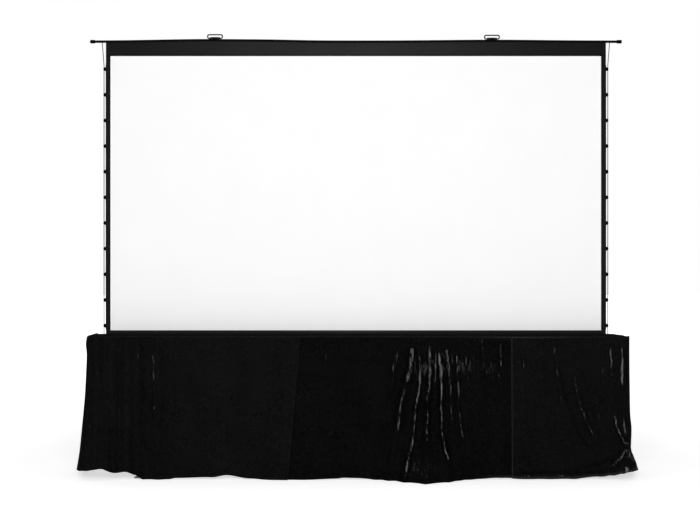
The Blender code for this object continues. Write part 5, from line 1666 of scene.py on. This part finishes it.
def stations_between(start, end, pitch):
    count = max(2, round(abs(end[0] - start[0]) / pitch))
    return list(zip(spaced(start[0], end[0], count + 1), spaced(start[1], end[1], count + 1)))


def make_skirt():
    pitch = settings().skirt_pitch
    # Each panel's pile gets its own level of painted light.
    left = stations_between((-SKIRT_BACK, -SKIRT_BACK), LEFT_SEAM, pitch)
    skirt_panel("velvet_left", "skirt_left_panel", left, 0.62, LEFT_SEAM, 0.03)
    start = (LEFT_SEAM[0] - SEAM_LAP, LEFT_SEAM[1] - SEAM_LAP)
    end = (RIGHT_SEAM[0] + SEAM_LAP, RIGHT_SEAM[1] + SEAM_LAP)
    skirt_panel("velvet_middle", "skirt_middle_panel", stations_between(start, end, pitch), 0.26)
    right = stations_between(RIGHT_SEAM, (SKIRT_BACK, SKIRT_BACK), pitch)
    skirt_panel("velvet_right", "skirt_right_panel", right, 0.56, RIGHT_SEAM, 0.17)


# Stage


def white_to_camera(name, colour, strength):
    """A pale surface that a camera ray sees a little brighter than its shade, so that it ends white."""
    material = new_finish(name, Roughness=0.9, Specular_IOR_Level=0.1)
    place = stretched_place(material)
    dim = tuple(0.99 * value for value in colour)
    feed(material, "Base Color", spread_colours(material, grain(material, place, 2.0), dim, colour))
    rays = add_node(material, "ShaderNodeLightPath").outputs
    seen = combine(material, "MAXIMUM", rays["Is Camera Ray"], rays["Is Glossy Ray"])
    away = add_node(material, "ShaderNodeVectorMath", {0: place}, operation="LENGTH").outputs["Value"]
    level = combine(material, "MULTIPLY", seen, spread_values(material, away, strength, 1.0, 2.4, 7.0))
    glow = add_node(material, "ShaderNodeEmission", {"Color": (1, 1, 1, 1), "Strength": level})
    nodes = material.node_tree.nodes
    links = {0: nodes["Principled BSDF"].outputs[0], 1: glow.outputs[0]}
    both = add_node(material, "ShaderNodeAddShader", links).outputs[0]
    material.node_tree.links.new(both, nodes["Material Output"].inputs["Surface"])
    return material


def area_lamp(name, place, aim, size, power):
    light = bpy.data.lights.new(name, "AREA")
    light.shape = "RECTANGLE"
    light.size, light.size_y = size
    light.energy = power
    lamp = placed(name, light)
    lamp.matrix_world = towards(place, Vector(place) - Vector(aim))
    lamp.visible_camera = False


def make_world(strength):
    """Even light, and pure white to the camera."""
    world = bpy.data.worlds.new("studio_white")
    bpy.context.scene.world = world
    world.use_nodes = True
    tree = world.node_tree
    tree.nodes.clear()
    rays = tree_node(tree, "ShaderNodeLightPath").outputs
    links = {0: rays["Is Camera Ray"], 1: rays["Is Transmission Ray"]}
    seen = tree_node(tree, "ShaderNodeMath", links, operation="MAXIMUM").outputs[0]
    links = {"Value": seen, "To Min": strength, "To Max": 1.0}
    level = tree_node(tree, "ShaderNodeMapRange", links).outputs["Result"]
    ground = tree_node(tree, "ShaderNodeBackground", {"Color": (1, 1, 1, 1), "Strength": level})
    tree_node(tree, "ShaderNodeOutputWorld", {"Surface": ground.outputs[0]})


def make_stage():
    values = settings()
    mesh = bpy.data.meshes.new("floor")
    corners = [(x * FLOOR_REACH, y * FLOOR_REACH, 0) for x, y in ((-1, -1), (1, -1), (1, 1), (-1, 1))]
    mesh.from_pydata(corners, [], [(0, 1, 2, 3)])
    mesh.materials.append(white_to_camera("pale_studio_floor", (0.84, 0.84, 0.84), values.floor_glow))
    placed("studio_floor", mesh)
    make_world(values.world_level)
    area_lamp("key_lamp", *KEY_LAMP, values.key_power)
    for _, side in SIDES:
        place, aim, size = SIDE_LAMP
        place, aim = ((side * x, y, z) for x, y, z in (place, aim))
        area_lamp("side_lamp", place, aim, size, values.side_power)

    camera = bpy.data.cameras.new("photo_camera")
    camera.sensor_width = SENSOR_WIDE
    camera.lens = CAMERA_FOCAL * SENSOR_WIDE / CAMERA_FRAME
    camera.clip_end = 200
    viewer = placed("photo_camera", camera)
    viewer.location = CAMERA_PLACE
    viewer.rotation_euler = (math.pi / 2, 0, 0)
    bpy.context.scene.camera = viewer
    bpy.context.scene.view_settings.view_transform = "Standard"


# Settings, operators and panel


def number_setting(name, description, default, low=0.0, **more):
    return bpy.props.FloatProperty(
        name=name, description=description, default=default, min=low, **more
    )


def length_setting(name, description, default, low=0.0):
    return number_setting(name, description, default, low, unit="LENGTH")


def colour_setting(name, description, default):
    return bpy.props.FloatVectorProperty(
        name=name, description=description, default=default, min=0, max=1, subtype="COLOR"
    )


class ProjectionScreenSettings(bpy.types.PropertyGroup):
    """Sizes and colours that a user may change before building the pieces."""

    white: colour_setting("White face", "Colour of the projection face", (0.93, 0.93, 0.93))
    black: colour_setting("Black cloth", "Colour of the borders", (0.0022, 0.0022, 0.0022))
    # The pile's deep black, and a paler colour painted where the pile leans to the light.
    velvet: colour_setting("Velvet", "Colour of the pile that leans away", (0.0004, 0.0004, 0.00041))
    velvet_painted_light: colour_setting(
        "Velvet to the light", "Colour of the pile that leans to the light", (0.0072, 0.0072, 0.0073)
    )
    # Painted highlight colour of the raised pile in the creases and on turned edges.
    velvet_highlight: colour_setting("Velvet nap", "Colour of the pile that is brushed up", (0.150, 0.150, 0.152))
    cloth_gloss: number_setting("Black cloth gloss", "Specular level of the borders", 0.075, max=1)
    scallop: length_setting("Edge scallop", "How far the side edge is drawn in between tabs", 0.0005)
    fold_depth: length_setting("Fold depth", "Depth of the skirt's deepest main fold", 0.030)
    hem_spread: length_setting("Hem spread", "How far the skirt's hem stands out at most", 0.150)
    skirt_pitch: length_setting("Skirt mesh pitch", "Distance between the skirt's columns", 0.006, 0.003)
    skirt_rows: bpy.props.IntProperty(
        name="Skirt mesh rows", description="Rows down the skirt", default=90, min=10
    )
    world_level: number_setting("World level", "Strength of the even light", 0.40)
    floor_glow: number_setting("Floor glow", "What a camera ray adds to the floor's shade", 0.555)
    key_power: number_setting("Key lamp", "Power of the large lamp", 300, unit="POWER")
    side_power: number_setting("Side lamp", "Power of the side lamp", 50, unit="POWER")


class BUILD_OT_stage(bpy.types.Operator):
    """Makes the floor, the lamps, the world and the camera"""

    bl_idname = "projection_screen.stage"
    bl_label = "Stage"

    def execute(self, context):
        make_stage()
        return {"FINISHED"}


class BUILD_OT_cloth(bpy.types.Operator):
    """Makes the black tensioned cloth and its white face"""

    bl_idname = "projection_screen.cloth"
    bl_label = "Screen Cloth"

    def execute(self, context):
        make_backing()
        make_white_face()
        return {"FINISHED"}


class BUILD_OT_edges(bpy.types.Operator):
    """Makes the tabs and the tension cords down both sides"""

    bl_idname = "projection_screen.edges"
    bl_label = "Edge Tabs and Cords"

    def execute(self, context):
        for label, side in SIDES:
            make_tabs(label, side)
            make_cord(label, side)
        return {"FINISHED"}


class BUILD_OT_bar(bpy.types.Operator):
    """Makes the bowed top bar, its caps, the lifting loops and their clamps"""

    bl_idname = "projection_screen.bar"
    bl_label = "Top Bar"

    def execute(self, context):
        make_bar()
        make_sleeve()
        for label, _ in SIDES:
            make_loop(label)
        return {"FINISHED"}


class BUILD_OT_lifts(bpy.types.Operator):
    """Makes both scissor lifts with their rails and spring housings"""

    bl_idname = "projection_screen.lifts"
    bl_label = "Scissor Lifts"

    def execute(self, context):
        for label, side in SIDES:
            make_lift(label, side)
            make_drum(label)
        return {"FINISHED"}


class BUILD_OT_case(bpy.types.Operator):
    """Makes the case's shells and plates, the control box and its rocker"""

    bl_idname = "projection_screen.case"
    bl_label = "Case and Controls"

    def execute(self, context):
        make_case()
        make_controls()
        return {"FINISHED"}


class BUILD_OT_roller(bpy.types.Operator):
    """Makes the fabric roller, its motor and its brackets"""

    bl_idname = "projection_screen.roller"
    bl_label = "Fabric Roller"

    def execute(self, context):
        make_roller()
        return {"FINISHED"}


class BUILD_OT_stand(bpy.types.Operator):
    """Makes the stand with its castors and levelling jacks"""

    bl_idname = "projection_screen.stand"
    bl_label = "Stand"

    def execute(self, context):
        make_stand()
        return {"FINISHED"}


class BUILD_OT_skirt(bpy.types.Operator):
    """Makes the three velvet panels of the skirt"""

    bl_idname = "projection_screen.skirt"
    bl_label = "Velvet Skirt"

    def execute(self, context):
        make_skirt()
        return {"FINISHED"}


OPERATORS = (
    BUILD_OT_stage,
    BUILD_OT_cloth,
    BUILD_OT_edges,
    BUILD_OT_bar,
    BUILD_OT_lifts,
    BUILD_OT_case,
    BUILD_OT_roller,
    BUILD_OT_stand,
    BUILD_OT_skirt,
)


class BUILD_PT_projection_screen(bpy.types.Panel):
    """Lists the settings and the building steps"""

    bl_idname = "BUILD_PT_projection_screen"
    bl_label = "Projection Screen"
    bl_space_type = "VIEW_3D"
    bl_region_type = "UI"
    bl_category = "Projection Screen"

    def draw(self, context):
        values = context.scene.projection_screen
        for name in ProjectionScreenSettings.__annotations__:
            self.layout.prop(values, name)
        for operator in OPERATORS:
            self.layout.operator(operator.bl_idname)


CLASSES = (ProjectionScreenSettings, *OPERATORS, BUILD_PT_projection_screen)


def register():
    for made in CLASSES:
        bpy.utils.register_class(made)
    bpy.types.Scene.projection_screen = bpy.props.PointerProperty(type=ProjectionScreenSettings)


def unregister():
    del bpy.types.Scene.projection_screen
    for made in reversed(CLASSES):
        bpy.utils.unregister_class(made)


def main():
    register()
    for operator in OPERATORS:
        group, name = operator.bl_idname.split(".")
        getattr(getattr(bpy.ops, group), name)()


if __name__ == "__main__":
    main()
